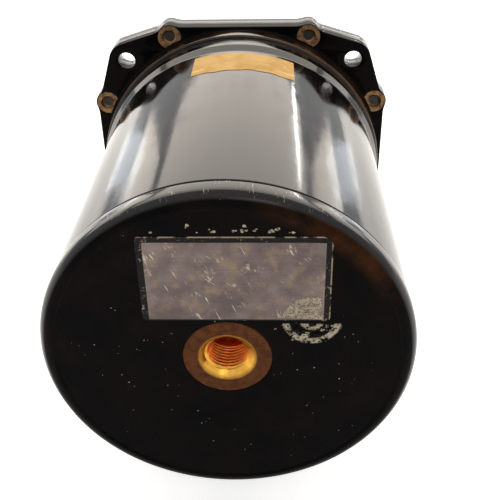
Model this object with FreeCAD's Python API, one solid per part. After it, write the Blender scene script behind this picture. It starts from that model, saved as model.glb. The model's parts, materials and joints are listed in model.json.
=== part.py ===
import FreeCAD, Part
import math
import os

# Panel-mounted three-pointer altimeter, in millimetres and degrees.
# The dial faces -Y, the pipe port faces +Y and +Z is up.
# The origin is on the case axis, in the face that meets the panel.

# Fixing to the panel, and the case that fits between the screws
PANEL_HOLE_PITCH = 62.86
PANEL_HOLE_RADIUS = 2.4
COLLAR_TO_HOLE = 2.15
PANEL_HOLE = PANEL_HOLE_PITCH / 2.0
COLLAR_RADIUS = PANEL_HOLE * math.sqrt(2.0) - PANEL_HOLE_RADIUS - COLLAR_TO_HOLE

# Flange and bezel outline
FLANGE_MARGIN = 0.9
FLANGE_HALF_WIDTH = COLLAR_RADIUS + FLANGE_MARGIN
FLANGE_SHOULDER = 22.9
FLANGE_FLAT_HALF = FLANGE_HALF_WIDTH - FLANGE_SHOULDER
EAR_RADIUS = 4.9
BEZEL_PLATE = 3.8
CASE_FLANGE = 3.2

# Inserts in the flange and the screws that hold the bezel to them
INSERT_RADIUS = 3.3
INSERT_EDGE = 0.5
INSERT_OFFSET = 1.1
INSERT_NEAR = FLANGE_FLAT_HALF + INSERT_OFFSET
INSERT_FAR = FLANGE_HALF_WIDTH + INSERT_EDGE - INSERT_RADIUS
INSERT_LOBE_WALL = 0.1
INSERT_MOUTH_RADIUS = 1.8
INSERT_MOUTH_DEPTH = 0.9
BEZEL_SCREW_RADIUS = 1.3
BEZEL_SCREW_CLEARANCE = 0.15
BEZEL_SCREW_HEAD_RADIUS = 2.6
BEZEL_SCREW_HEAD_DEPTH = 1.2
SLOT_WIDTH = 0.6
SLOT_DEPTH = 0.5

# Case moulding
CASE_LENGTH = 95.0
COLLAR_LENGTH = 4.0
COLLAR_GROOVE_DEPTH = 1.0
COLLAR_GROOVE_WIDTH = 0.7
BAND_STEP = 0.7
BAND_LENGTH = 4.2
BODY_STEP = 0.9
BODY_DRAFT = 1.0
BAND_SLOPE = 2.4
RIM_LENGTH = 5.6
RIM_RISE = 0.3
RIM_ROUND = 3.0
RIM_GROOVE_WIDTH = 0.7
RIM_GROOVE_DEPTH = 0.5
RIM_STEP = 0.4
RIM_WIDTH = 3.1
CASE_WALL = 2.4
BORE_DRAFT = 0.4
REAR_WALL = 3.0
RIB_RADIUS = 2.6
RIB_INSET = 1.5
COLLAR_GROOVE_RADIUS = COLLAR_RADIUS - COLLAR_GROOVE_DEPTH
BAND_RADIUS = COLLAR_RADIUS - BAND_STEP
BODY_FRONT_RADIUS = BAND_RADIUS - BODY_STEP
BODY_REAR_RADIUS = BODY_FRONT_RADIUS + BODY_DRAFT
RIM_RADIUS = BODY_REAR_RADIUS + RIM_RISE
REAR_FACE_RADIUS = RIM_RADIUS - RIM_WIDTH
BORE_FRONT_RADIUS = BODY_FRONT_RADIUS - CASE_WALL
BORE_REAR_RADIUS = BORE_FRONT_RADIUS + BORE_DRAFT
RIB_PITCH_RADIUS = BORE_FRONT_RADIUS - RIB_INSET
RIB_ANGLES = (75.0, 195.0, 315.0)

# Static pressure port with a one-eighth pipe thread
PORT_RING_RADIUS = 9.52
PORT_RING_DEPTH = 2.4
PORT_BODY_RADIUS = 7.6
PORT_LENGTH = 10.5
PORT_BORE_RADIUS = 4.35
PORT_MOUTH_RADIUS = 5.8
PORT_MOUTH_DEPTH = 1.4
PORT_END_WALL = 1.2
PORT_ORIFICE_RADIUS = 0.75
PORT_BOSS_WALL = 3.4
PORT_BOSS_LENGTH = 10.0

# Bezel ring and cover glass
BEZEL_RING_STEP = 0.7
BEZEL_RING_RADIUS = COLLAR_RADIUS - BEZEL_RING_STEP
BEZEL_RING_HEIGHT = 3.3
EDGE_BEVEL = 0.7
BEZEL_LIP = 1.2
BEZEL_SIGHT_BEVEL = 0.9
BEZEL_RING_WALL = 1.0
GLASS_THICKNESS = 3.6
GLASS_EDGE_CLEARANCE = 0.3
GLASS_RADIUS = BEZEL_RING_RADIUS - BEZEL_RING_WALL - GLASS_EDGE_CLEARANCE
FRONT_GASKET = 0.6
SEAL_WALL = 1.9
SEAL_INNER_RADIUS = GLASS_RADIUS - SEAL_WALL
GASKET_STEP = 0.4

# Dial and pointers
DIAL_EDGE_CLEARANCE = 0.9
DIAL_RADIUS = BORE_FRONT_RADIUS - DIAL_EDGE_CLEARANCE
BEZEL_SIGHT_RADIUS = DIAL_RADIUS
DIAL_THICKNESS = 0.8
DIAL_FACE_Y = 7.0
DIAL_HOLE_RADIUS = 2.6
DIAL_POST_INSET = 4.0
DIAL_POST_PITCH_RADIUS = DIAL_RADIUS - DIAL_POST_INSET
DIAL_POST_RADIUS = 1.6
DIAL_POST_ANGLES = (20.0, 140.0, 270.0)
DIAL_SCREW_RADIUS = 0.7
DIAL_SCREW_HEAD_RADIUS = 1.4
DIAL_SCREW_HEAD = 0.5
WINDOW_OUTER_RADIUS = DIAL_RADIUS - 9.0
WINDOW_HEIGHT = 6.5
WINDOW_INNER_RADIUS = WINDOW_OUTER_RADIUS - WINDOW_HEIGHT
WINDOW_HALF_ANGLE = 9.0
POINTER_THICKNESS = 0.4
POINTER_GAP = 0.7
LONG_POINTER_INSET = 5.0
LONG_POINTER_REACH = DIAL_RADIUS - LONG_POINTER_INSET
LONG_POINTER_TAIL = 9.0
LONG_POINTER_WIDTH = 3.0
LONG_POINTER_TIP = 7.8
BROAD_POINTER_INSET = 16.5
BROAD_POINTER_REACH = DIAL_RADIUS - BROAD_POINTER_INSET
BROAD_POINTER_TAIL = 5.5
BROAD_POINTER_WIDTH = 6.0
BROAD_POINTER_TIP = 7.5
THIN_POINTER_INSET = 3.0
THIN_POINTER_REACH = DIAL_RADIUS - THIN_POINTER_INSET
THIN_POINTER_WIDTH = 0.9
THIN_POINTER_FLAG = 4.6
POINTER_HUB_WALL = 1.9

# Reading at rest
REST_ALTITUDE_FT = 1680.0
TURN_FT = 1000.0

# Pointer shafts, tubes and plain pivots
STAFF_RADIUS = 0.6
TUBE_WALL = 0.49
SHAFT_CLEARANCE = 0.06
PIVOT_RADIUS = 0.3
PIVOT_LENGTH = 1.0
PIVOT_CLEARANCE = 0.03
END_SHAKE = 0.1

# Movement plates and pillars
FRONT_PLATE_Y = 10.8
FRONT_PLATE_CLEARANCE = 0.5
FRONT_PLATE_RADIUS = BORE_FRONT_RADIUS - FRONT_PLATE_CLEARANCE
PLATE_THICKNESS = 2.0
INNER_PLATE_INSET = 4.9
INNER_PLATE_RADIUS = BORE_FRONT_RADIUS - INNER_PLATE_INSET
INNER_PLATE_THICKNESS = 1.5
FRONT_BAY = 9.0
REAR_BAY = 9.5
PILLAR_RADIUS = 2.2
PILLAR_INSET = 4.0
PILLAR_PITCH_RADIUS = INNER_PLATE_RADIUS - PILLAR_INSET
PILLAR_ANGLES = (45.0, 135.0, 225.0, 315.0)
SCREW_HEAD = 1.0
PLATE_SCREW_RADIUS = 0.9
PLATE_SCREW_HEAD_RADIUS = 1.5
PLATE_SCREW_GRIP = 5.0

# Gear trains: teeth and modules
TOOTH_ADDENDUM = 0.75
TOOTH_DEDENDUM = 1.1
PRESSURE_ANGLE = 20.0
BACKLASH_SHARE = 0.17
SLOW_PINION_TEETH = 7
SLOW_WHEEL_TEETH = 28
SLOW_SECOND_PINION_TEETH = 10
SLOW_SECOND_WHEEL_TEETH = 25
MODULE_A = 0.5
MODULE_B = 0.6
LAYSHAFT_A_ANGLE = 45.0
LAYSHAFT_B_ANGLE = 170.0
LIFT_MODULE = 0.4
CENTRE_PINION_TEETH = 8
MIDDLE_WHEEL_TEETH = 80
MIDDLE_PINION_TEETH = 10
SECTOR_FULL_TEETH = 126
SECTOR_LOW_SIDE = 10.7
SECTOR_HIGH_SIDE = 55.4
MIDDLE_ARBOR_ANGLE = 270.0
WHEEL_THICKNESS = 0.8
PINION_EXTRA = 0.2
LEVEL_GAP = 0.5

# Barometric setting
BARO_DISC_TEETH = 95
BARO_IDLER_TEETH = 15
BARO_PINION_TEETH = 16
BARO_ANGLE = 225.0
KNOB_INSET = 2.15
KNOB_PITCH_RADIUS = PANEL_HOLE * math.sqrt(2.0) - KNOB_INSET
BARO_MODULE = 2.0 * KNOB_PITCH_RADIUS / (BARO_DISC_TEETH + 2 * BARO_IDLER_TEETH + BARO_PINION_TEETH)
BARO_DISC_THICKNESS = 1.0
BARO_DISC_Y = 9.0
BARO_BEARING_RADIUS = 6.0
BARO_SHOULDER_RADIUS = 9.0
BARO_CLIP_RADIUS = 7.4
BARO_CLIP_GROOVE = 0.5
BARO_CLIP_THICKNESS = 0.4
BARO_RUN_CLEARANCE = 0.05
IDLER_STUD_RADIUS = 1.0
IDLER_STUD_HEAD_RADIUS = 1.8
POCKET_CLEARANCE = 0.4
POCKET_WALL = 1.4
POCKET_DEPTH = 7.4
POCKET_FLOOR = 1.6

# Knob
KNOB_RADIUS = 6.0
KNOB_LENGTH = 9.0
KNOB_FRONT_Y = -13.6
KNOB_FLUTES = 12
KNOB_FLUTE_RADIUS = 0.8
KNOB_SKIRT = 1.6
KNOB_STEM_RADIUS = 1.5
KNOB_SET_SCREW_RADIUS = 0.8
BUSH_RADIUS = 2.9
BUSH_FRONT = 3.6
BUSH_COLLAR_RADIUS = 4.2
BUSH_COLLAR = 1.4
SEAL_GROOVE_RADIUS = 2.2
SEAL_WIDTH = 1.2

# Capsule stack and lifting gear
CAPSULE_CLEARANCE = 5.65
CAPSULE_THICKNESS = 7.4
CAPSULE_WALL = 0.35
CAPSULE_BOSS_RADIUS = 3.0
CAPSULE_BOSS = 1.0
CAPSULE_TOP_Z = -2.0
CAPSULE_STUD_RADIUS = 1.5
ROCKER_HEIGHT = 9.6
ROCKER_RADIUS = 1.0
ROCKER_ARM = 4.0
ROCKER_SWEEP = 60.0
ROCKER_HUB_RADIUS = 2.2
ARM_THICKNESS = 1.4
LINK_PIN_RADIUS = 0.5
LINK_THICKNESS = 0.8
LINK_EYE_WALL = 0.9
LINK_SLIP = 0.35
LINK_SLIP_HEIGHT = 0.14
POST_RADIUS = 1.0
POST_HEAD = 1.0
CRADLE_THICKNESS = 2.0
CRADLE_HALF_WIDTH = 9.0
CRADLE_DROP = 1.5
CRADLE_LEAF = 12.0
NUT_ACROSS_FLATS = 5.5
NUT_THICKNESS = 2.2
BRIDGE_HALF_WIDTH = 4.0
BRIDGE_THICKNESS = 2.4
BRIDGE_RISE = 4.2
BRIDGE_LEAF = 9.0
BRIDGE_LUG = 2.0
WEIGHT_RADIUS = 2.6
WEIGHT_THICKNESS = 2.4
WEIGHT_ARM = 9.0
HAIRSPRING_INNER = 1.9
HAIRSPRING_PITCH = 1.1
HAIRSPRING_TURNS = 4
HAIRSPRING_THICKNESS = 0.18
HAIRSPRING_HEIGHT = 0.8
HAIRSPRING_Y = 30.0

# Data plate on the rear face and the tape on the case
PLATE_WIDTH = 37.8
PLATE_HEIGHT = 20.2
PLATE_FOIL = 0.25
PLATE_CENTRE_X = -2.1
PLATE_CENTRE_Z = 20.2
PLATE_CORNER = 2.2
TAPE_THICKNESS = 0.12
TAPE_FRONT_Y = 20.0
TAPE_WIDTH = 13.0
TAPE_FROM_ANGLE = 73.5
TAPE_TO_ANGLE = 112.5

# Places worked out from the sizes above
CASE_FRONT_Y = BEZEL_PLATE
FLANGE_REAR_Y = CASE_FRONT_Y + CASE_FLANGE
REAR_FACE_Y = CASE_LENGTH - RIM_STEP
FRONT_PLATE_REAR_Y = FRONT_PLATE_Y + PLATE_THICKNESS
MIDDLE_PLATE_Y = FRONT_PLATE_REAR_Y + FRONT_BAY
MIDDLE_PLATE_REAR_Y = MIDDLE_PLATE_Y + INNER_PLATE_THICKNESS
REAR_PLATE_Y = MIDDLE_PLATE_REAR_Y + REAR_BAY
REAR_PLATE_REAR_Y = REAR_PLATE_Y + INNER_PLATE_THICKNESS
PORT_BOSS_Y = REAR_FACE_Y - REAR_WALL - PORT_BOSS_LENGTH
CAPSULE_BAY = PORT_BOSS_Y - REAR_PLATE_REAR_Y
CAPSULE_RADIUS = CAPSULE_BAY / 2.0 - CAPSULE_CLEARANCE
CAPSULE_AXIS_Y = REAR_PLATE_REAR_Y + CAPSULE_BAY / 2.0
DIAL_REAR_Y = DIAL_FACE_Y + DIAL_THICKNESS
THIN_POINTER_Y = DIAL_FACE_Y - POINTER_GAP - POINTER_THICKNESS
BROAD_POINTER_Y = THIN_POINTER_Y - POINTER_GAP - POINTER_THICKNESS
LONG_POINTER_Y = BROAD_POINTER_Y - POINTER_GAP - POINTER_THICKNESS
THOUSANDS_BORE = STAFF_RADIUS + SHAFT_CLEARANCE
THOUSANDS_RADIUS = THOUSANDS_BORE + TUBE_WALL
TEN_THOUSANDS_BORE = THOUSANDS_RADIUS + SHAFT_CLEARANCE
TEN_THOUSANDS_RADIUS = TEN_THOUSANDS_BORE + TUBE_WALL
REST_TURNS = REST_ALTITUDE_FT / TURN_FT
CENTRE_A = MODULE_A * (SLOW_PINION_TEETH + SLOW_WHEEL_TEETH) / 2.0
CENTRE_B = MODULE_B * (SLOW_PINION_TEETH + SLOW_WHEEL_TEETH) / 2.0
CENTRE_MIDDLE = LIFT_MODULE * (MIDDLE_WHEEL_TEETH + CENTRE_PINION_TEETH) / 2.0
CENTRE_SECTOR = LIFT_MODULE * (SECTOR_FULL_TEETH + MIDDLE_PINION_TEETH) / 2.0
BARO_DISC_PITCH = BARO_MODULE * BARO_DISC_TEETH / 2.0
BARO_IDLER_PITCH = BARO_MODULE * BARO_IDLER_TEETH / 2.0
BARO_PINION_PITCH = BARO_MODULE * BARO_PINION_TEETH / 2.0
IDLER_PITCH_RADIUS = BARO_DISC_PITCH + BARO_IDLER_PITCH


def polar(radius, angle):
    """A point of the XZ plane, by its distance from the axis and its angle from +X towards +Z."""
    turn = math.radians(angle)
    return radius * math.cos(turn), radius * math.sin(turn)


LAYSHAFT_A = polar(CENTRE_A, LAYSHAFT_A_ANGLE)
LAYSHAFT_B = polar(CENTRE_B, LAYSHAFT_B_ANGLE)
MIDDLE_ARBOR = polar(CENTRE_MIDDLE, MIDDLE_ARBOR_ANGLE)
ROCKER = (0.0, MIDDLE_ARBOR[1] + CENTRE_SECTOR)
IDLER = polar(IDLER_PITCH_RADIUS, BARO_ANGLE)
KNOB = polar(KNOB_PITCH_RADIUS, BARO_ANGLE)
PANEL_HOLES = ((PANEL_HOLE, PANEL_HOLE), (-PANEL_HOLE, PANEL_HOLE), (PANEL_HOLE, -PANEL_HOLE))
CORNERS = PANEL_HOLES + ((-PANEL_HOLE, -PANEL_HOLE),)

# Levels of the wheels along the shafts, from the front plate to the rear
LEVEL_TEN = FRONT_PLATE_REAR_Y + LEVEL_GAP
LEVEL_B = LEVEL_TEN + WHEEL_THICKNESS + PINION_EXTRA + LEVEL_GAP
LEVEL_THOUSAND = LEVEL_B + WHEEL_THICKNESS + PINION_EXTRA + LEVEL_GAP
LEVEL_A = LEVEL_THOUSAND + WHEEL_THICKNESS + PINION_EXTRA + LEVEL_GAP
LEVEL_MIDDLE = LEVEL_A + WHEEL_THICKNESS + PINION_EXTRA + LEVEL_GAP
LEVEL_SECTOR = MIDDLE_PLATE_REAR_Y + REAR_BAY / 3.0

# How far the rocker still has to turn at rest before its arm lies level
RANGE_LOW_FT = -1000.0
RANGE_HIGH_FT = 20000.0
REST_SHARE = (REST_ALTITUDE_FT - RANGE_LOW_FT) / (RANGE_HIGH_FT - RANGE_LOW_FT)
ARM_DROP = (0.5 - REST_SHARE) * ROCKER_SWEEP
ARM_PIN = (
    ROCKER[0] - ROCKER_ARM * math.cos(math.radians(ARM_DROP)),
    ROCKER[1] - ROCKER_ARM * math.sin(math.radians(ARM_DROP)),
)
ARM_SWING = ROCKER_ARM * (1.0 - math.cos(math.radians(ROCKER_SWEEP / 2.0)))
CAPSULE_AXIS_X = ROCKER[0] - ROCKER_ARM + ARM_SWING / 2.0
POST_PIN_Z = CAPSULE_TOP_Z + 2.0
CAPSULE_STACK = 2.0 * (CAPSULE_THICKNESS + CAPSULE_BOSS)
CAPSULE_BASE_Z = CAPSULE_TOP_Z - CAPSULE_STACK


def point(x, y, z):
    """A vector at the given place."""
    return FreeCAD.Vector(x, y, z)


def disc(radius, y_from, y_to, centre=(0.0, 0.0)):
    """A round bar along Y between two places, about a centre (x, z)."""
    start = point(centre[0], y_from, centre[1])
    return Part.makeCylinder(radius, y_to - y_from, start, point(0, 1, 0))


def tube(outer, inner, y_from, y_to, centre=(0.0, 0.0)):
    """A round tube along Y."""
    return disc(outer, y_from, y_to, centre).cut(disc(inner, y_from, y_to, centre))


def cone(radius_from, radius_to, y_from, y_to, centre=(0.0, 0.0)):
    """A taper along Y from one radius to another."""
    start = point(centre[0], y_from, centre[1])
    return Part.makeCone(radius_from, radius_to, y_to - y_from, start, point(0, 1, 0))


def joined(shapes):
    """One solid from several that touch or cross, with no seams left between flush faces."""
    first = shapes[0]
    return first.fuse(list(shapes[1:])).removeSplitter() if len(shapes) > 1 else first


def rounded_wire(corners, radii):
    """A closed wire through the corners, with a tangent arc at each corner whose radius isn't 0."""
    edges = []
    starts = []
    ends = []
    middles = []
    count = len(corners)
    for i in range(count):
        here = corners[i]
        before = (corners[i - 1] - here).normalize()
        after = (corners[(i + 1) % count] - here).normalize()
        radius = radii.get(i, 0.0)
        if radius == 0.0:
            starts.append(here)
            ends.append(here)
            middles.append(None)
            continue
        half = before.getAngle(after) / 2.0
        along = radius / math.tan(half)
        inward = (before + after).normalize()
        centre = here + inward * (radius / math.sin(half))
        starts.append(here + before * along)
        ends.append(here + after * along)
        middles.append(centre - inward * radius)
    for i in range(count):
        if middles[i] is not None:
            edges.append(Part.Arc(starts[i], middles[i], ends[i]).toShape())
        following = starts[(i + 1) % count]
        if (following - ends[i]).Length > 1e-7:
            edges.append(Part.LineSegment(ends[i], following).toShape())
    return Part.Wire(edges)


def turned(profile, radii=None):
    """A solid turned about the case axis from a closed profile of (radius, y) corners."""
    corners = [point(r, y, 0) for r, y in profile]
    face = Part.Face(rounded_wire(corners, radii or {}))
    return face.revolve(point(0, 0, 0), point(0, 1, 0), 360)


def plate_from(corners, y_from, thickness, radii=None):
    """A flat plate along Y from an outline of (x, z) corners."""
    outline = [point(x, y_from, z) for x, z in corners]
    face = Part.Face(rounded_wire(outline, radii or {}))
    return face.extrude(point(0, thickness, 0))


def block(x_from, x_to, y_from, y_to, z_from, z_to):
    """A rectangular block between two corners."""
    start = point(x_from, y_from, z_from)
    return Part.makeBox(x_to - x_from, y_to - y_from, z_to - z_from, start)


def turn_about(shape, centre, angle):
    """The shape turned about a line along Y, clockwise as seen from the dial side."""
    copy = shape.copy()
    copy.rotate(point(centre[0], 0, centre[1]), point(0, 1, 0), angle)
    return copy


def save(name, *solids):
    """Write one node's solids to its STEP file."""
    shape = solids[0] if len(solids) == 1 else Part.makeCompound(list(solids))
    shape.exportStep("parts/" + name + ".step")


def involute(angle):
    """The involute function of an angle in radians."""
    return math.tan(angle) - angle


def tooth_half_angle(radius, teeth, module):
    """Half the angle that a tooth spans at a radius, in degrees, with its share of backlash taken off."""
    pitch = module * teeth / 2.0
    base = pitch * math.cos(math.radians(PRESSURE_ANGLE))
    at_pitch = math.pi / (2.0 * teeth) * (1.0 - BACKLASH_SHARE)
    spread = involute(math.acos(base / max(radius, base)))
    return math.degrees(at_pitch + involute(math.radians(PRESSURE_ANGLE)) - spread)


def tooth_corners(teeth, module, tooth_angle):
    """The corners of one tooth, from its leading root to its trailing root."""
    pitch = module * teeth / 2.0
    root = pitch - TOOTH_DEDENDUM * module
    tip = pitch + TOOTH_ADDENDUM * module
    half_root = tooth_half_angle(root, teeth, module)
    half_pitch = tooth_half_angle(pitch, teeth, module)
    half_tip = tooth_half_angle(tip, teeth, module)
    corners = [polar(root, tooth_angle - half_root)]
    if teeth < SECTOR_FULL_TEETH / 4.0:
        corners.append(polar(pitch, tooth_angle - half_pitch))
    corners.append(polar(tip, tooth_angle - half_tip))
    corners.append(polar(tip, tooth_angle + half_tip))
    if teeth < SECTOR_FULL_TEETH / 4.0:
        corners.append(polar(pitch, tooth_angle + half_pitch))
    corners.append(polar(root, tooth_angle + half_root))
    return corners


def gear(teeth, module, centre, tooth_at, y_from, thickness, bore=0.0):
    """A spur gear about a centre (x, z), with one tooth at the angle given, and a plain bore."""
    corners = []
    for i in range(teeth):
        corners += tooth_corners(teeth, module, tooth_at + i * 360.0 / teeth)
    placed = [(centre[0] + x, centre[1] + z) for x, z in corners]
    blank = plate_from(placed, y_from, thickness)
    if bore > 0.0:
        blank = blank.cut(disc(bore, y_from, y_from + thickness, centre))
    return blank


def crossed_out(wheel, teeth, module, centre, y_from, spokes, turn, hub_radius):
    """The wheel with windows between its spokes, as a light clock wheel has."""
    rim = module * teeth / 2.0 - (TOOTH_DEDENDUM + 2.0) * module
    hub = hub_radius + 1.0
    half = 180.0 / spokes
    spoke_half = 0.9
    windows = []
    for i in range(spokes):
        middle = turn + i * 360.0 / spokes
        outer_half = half - math.degrees(spoke_half / rim)
        inner_half = half - math.degrees(spoke_half / hub)
        windows.append(ring_sector(rim, hub, middle, outer_half, inner_half, centre, y_from))
    return wheel.cut(windows)


def ring_sector(outer, inner, middle, outer_half, inner_half, centre, y_from):
    """A window through a wheel, bounded by two arcs and two straight sides."""
    def at(radius, angle):
        x, z = polar(radius, angle)
        return point(centre[0] + x, y_from - 1.0, centre[1] + z)

    edges = [
        Part.Arc(at(outer, middle - outer_half), at(outer, middle), at(outer, middle + outer_half)).toShape(),
        Part.LineSegment(at(outer, middle + outer_half), at(inner, middle + inner_half)).toShape(),
        Part.Arc(at(inner, middle + inner_half), at(inner, middle), at(inner, middle - inner_half)).toShape(),
        Part.LineSegment(at(inner, middle - inner_half), at(outer, middle - outer_half)).toShape(),
    ]
    return Part.Face(Part.Wire(edges)).extrude(point(0, WHEEL_THICKNESS + 2.0, 0))


def pivot_bar(radius, y_from, y_to, centre):
    """An arbor with a thin pivot at each end."""
    bar = disc(radius, y_from + END_SHAKE, y_to - END_SHAKE, centre)
    front = disc(PIVOT_RADIUS, y_from - PIVOT_LENGTH, y_from + END_SHAKE, centre)
    rear = disc(PIVOT_RADIUS, y_to - END_SHAKE, y_to + PIVOT_LENGTH, centre)
    return joined([bar, front, rear])


def ear_tangent(corner, centre):
    """Where the straight edge from a corner touches the round of the ear."""
    dx = corner[0] - centre[0]
    dz = corner[1] - centre[1]
    reach = math.hypot(dx, dz)
    angle = math.degrees(math.atan2(dz, dx)) - math.degrees(math.acos(EAR_RADIUS / reach))
    x, z = polar(EAR_RADIUS, angle)
    return centre[0] + x, centre[1] + z


def insert_places():
    """Centres of the threaded inserts, two to each side of the flange."""
    places = []
    for a in (-1, 1):
        for b in (-1, 1):
            places.append((a * INSERT_NEAR, b * INSERT_FAR))
            places.append((a * INSERT_FAR, b * INSERT_NEAR))
    return places


def flange_blank(y_from, thickness):
    """The flange outline: a square with sloped shoulders, round ears and a lobe at each insert."""
    flat = (FLANGE_FLAT_HALF, FLANGE_HALF_WIDTH)
    touch = ear_tangent(flat, (PANEL_HOLE, PANEL_HOLE))
    quarter = [(flat[1], flat[0]), (touch[1], touch[0]), touch, flat]
    corners = quarter
    corners = corners + [(-x, z) for x, z in reversed(quarter)]
    corners = corners + [(-x, -z) for x, z in quarter]
    corners = corners + [(x, -z) for x, z in reversed(quarter)]
    solids = [plate_from(corners, y_from, thickness)]
    solids += [disc(EAR_RADIUS, y_from, y_from + thickness, c) for c in CORNERS]
    lobe = INSERT_RADIUS + INSERT_LOBE_WALL
    solids += [disc(lobe, y_from, y_from + thickness, c) for c in insert_places()]
    return joined(solids)


def body_radius(y):
    """The drafted outer radius of the case at a place along its length."""
    start = FLANGE_REAR_Y + COLLAR_LENGTH + COLLAR_GROOVE_WIDTH + BAND_LENGTH + BAND_SLOPE
    end = CASE_LENGTH - RIM_LENGTH - RIM_GROOVE_WIDTH
    share = (y - start) / (end - start)
    return BODY_FRONT_RADIUS + share * (BODY_REAR_RADIUS - BODY_FRONT_RADIUS)


def case_forms():
    """The round outside with its collar, grooves, draft and rolled rim, and the cavity inside it."""
    collar = FLANGE_REAR_Y + COLLAR_LENGTH
    band = collar + COLLAR_GROOVE_WIDTH
    slope = band + BAND_LENGTH
    body = slope + BAND_SLOPE
    rim = CASE_LENGTH - RIM_LENGTH
    groove = rim - RIM_GROOVE_WIDTH
    waist = BODY_REAR_RADIUS - RIM_GROOVE_DEPTH
    outside = turned(
        [
            (0.0, CASE_FRONT_Y),
            (COLLAR_RADIUS, CASE_FRONT_Y),
            (COLLAR_RADIUS, collar),
            (COLLAR_GROOVE_RADIUS, collar),
            (COLLAR_GROOVE_RADIUS, band),
            (BAND_RADIUS, band),
            (BAND_RADIUS, slope),
            (BODY_FRONT_RADIUS, body),
            (BODY_REAR_RADIUS, groove),
            (waist, groove),
            (waist, rim),
            (RIM_RADIUS, rim),
            (RIM_RADIUS, CASE_LENGTH),
            (REAR_FACE_RADIUS, CASE_LENGTH),
            (REAR_FACE_RADIUS - RIM_STEP, REAR_FACE_Y),
            (0.0, REAR_FACE_Y),
        ],
        {12: RIM_ROUND},
    )
    inner_end = REAR_FACE_Y - REAR_WALL
    cavity = turned(
        [
            (0.0, CASE_FRONT_Y),
            (BORE_FRONT_RADIUS, CASE_FRONT_Y),
            (BORE_REAR_RADIUS, inner_end),
            (0.0, inner_end),
        ]
    )
    return outside, cavity


def setting_pocket(wall):
    """The space for the setting gears in the lower corner, grown by a wall thickness."""
    tip = TOOTH_ADDENDUM * BARO_MODULE + POCKET_CLEARANCE + wall
    end = CASE_FRONT_Y + POCKET_DEPTH + (POCKET_FLOOR if wall > 0.0 else 0.0)
    knob_end = disc(BARO_PINION_PITCH + tip, CASE_FRONT_Y, end, KNOB)
    idler_end = disc(BARO_IDLER_PITCH + tip, CASE_FRONT_Y, end, IDLER)
    return knob_end, idler_end


def screw_ribs():
    """Full-length ribs inside the case that take the movement screws."""
    start = FRONT_PLATE_REAR_Y
    end = REAR_FACE_Y - REAR_WALL / 2.0
    return [disc(RIB_RADIUS, start, end, polar(RIB_PITCH_RADIUS, a)) for a in RIB_ANGLES]


def case_shell():
    """The one-piece case moulding: barrel, flange, gear pocket, ribs and port boss."""
    outside, cavity = case_forms()
    flange = flange_blank(CASE_FRONT_Y, CASE_FLANGE)
    knob_boss, _ = setting_pocket(POCKET_WALL)
    hollow = joined([outside, flange, knob_boss]).cut(cavity)
    boss = disc(PORT_BODY_RADIUS + PORT_BOSS_WALL, PORT_BOSS_Y, REAR_FACE_Y - REAR_WALL / 2.0)
    outer = joined([hollow, boss] + screw_ribs())
    cuts = list(setting_pocket(0.0))
    cuts += [disc(PANEL_HOLE_RADIUS, CASE_FRONT_Y, FLANGE_REAR_Y, c) for c in PANEL_HOLES]
    cuts += [disc(INSERT_RADIUS, CASE_FRONT_Y, FLANGE_REAR_Y, c) for c in insert_places()]
    cuts.append(disc(PORT_RING_RADIUS, REAR_FACE_Y - PORT_RING_DEPTH, REAR_FACE_Y))
    cuts.append(disc(PORT_BODY_RADIUS, REAR_FACE_Y - PORT_LENGTH, REAR_FACE_Y))
    cuts.append(disc(2.0 * PORT_ORIFICE_RADIUS, PORT_BOSS_Y, REAR_FACE_Y))
    depth = PLATE_SCREW_GRIP
    for angle in RIB_ANGLES:
        centre = polar(RIB_PITCH_RADIUS, angle)
        cuts.append(disc(PLATE_SCREW_RADIUS, FRONT_PLATE_REAR_Y, FRONT_PLATE_REAR_Y + depth, centre))
    return outer.cut(cuts)


def static_port():
    """The brass port: a flat ring, a body held in the boss, a bored pipe thread and a fine orifice."""
    front = REAR_FACE_Y - PORT_LENGTH
    ring = disc(PORT_RING_RADIUS, REAR_FACE_Y - PORT_RING_DEPTH, REAR_FACE_Y)
    body = disc(PORT_BODY_RADIUS, front, REAR_FACE_Y - PORT_RING_DEPTH)
    bore = disc(PORT_BORE_RADIUS, front + PORT_END_WALL, REAR_FACE_Y)
    orifice = disc(PORT_ORIFICE_RADIUS, front, front + PORT_END_WALL)
    mouth = cone(PORT_BORE_RADIUS, PORT_MOUTH_RADIUS, REAR_FACE_Y - PORT_MOUTH_DEPTH, REAR_FACE_Y)
    return joined([ring, body]).cut([bore, orifice, mouth])


def bezel_inserts():
    """The threaded inserts in the flange, open to the rear."""
    solids = []
    for centre in insert_places():
        sleeve = tube(INSERT_RADIUS, BEZEL_SCREW_RADIUS, CASE_FRONT_Y, FLANGE_REAR_Y, centre)
        mouth = disc(INSERT_MOUTH_RADIUS, FLANGE_REAR_Y - INSERT_MOUTH_DEPTH, FLANGE_REAR_Y, centre)
        solids.append(sleeve.cut(mouth))
    return solids


def bezel_screws():
    """Countersunk slotted screws that hold the bezel to the flange."""
    solids = []
    end = FLANGE_REAR_Y - INSERT_MOUTH_DEPTH
    for x, z in insert_places():
        head = cone(BEZEL_SCREW_HEAD_RADIUS, BEZEL_SCREW_RADIUS, 0.0, BEZEL_SCREW_HEAD_DEPTH, (x, z))
        shank = disc(BEZEL_SCREW_RADIUS, BEZEL_SCREW_HEAD_DEPTH, end, (x, z))
        reach = BEZEL_SCREW_HEAD_RADIUS + 1.0
        half = SLOT_WIDTH / 2.0
        slot = block(x - reach, x + reach, -1.0, SLOT_DEPTH, z - half, z + half)
        solids.append(joined([head, shank]).cut(slot))
    return solids


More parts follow.
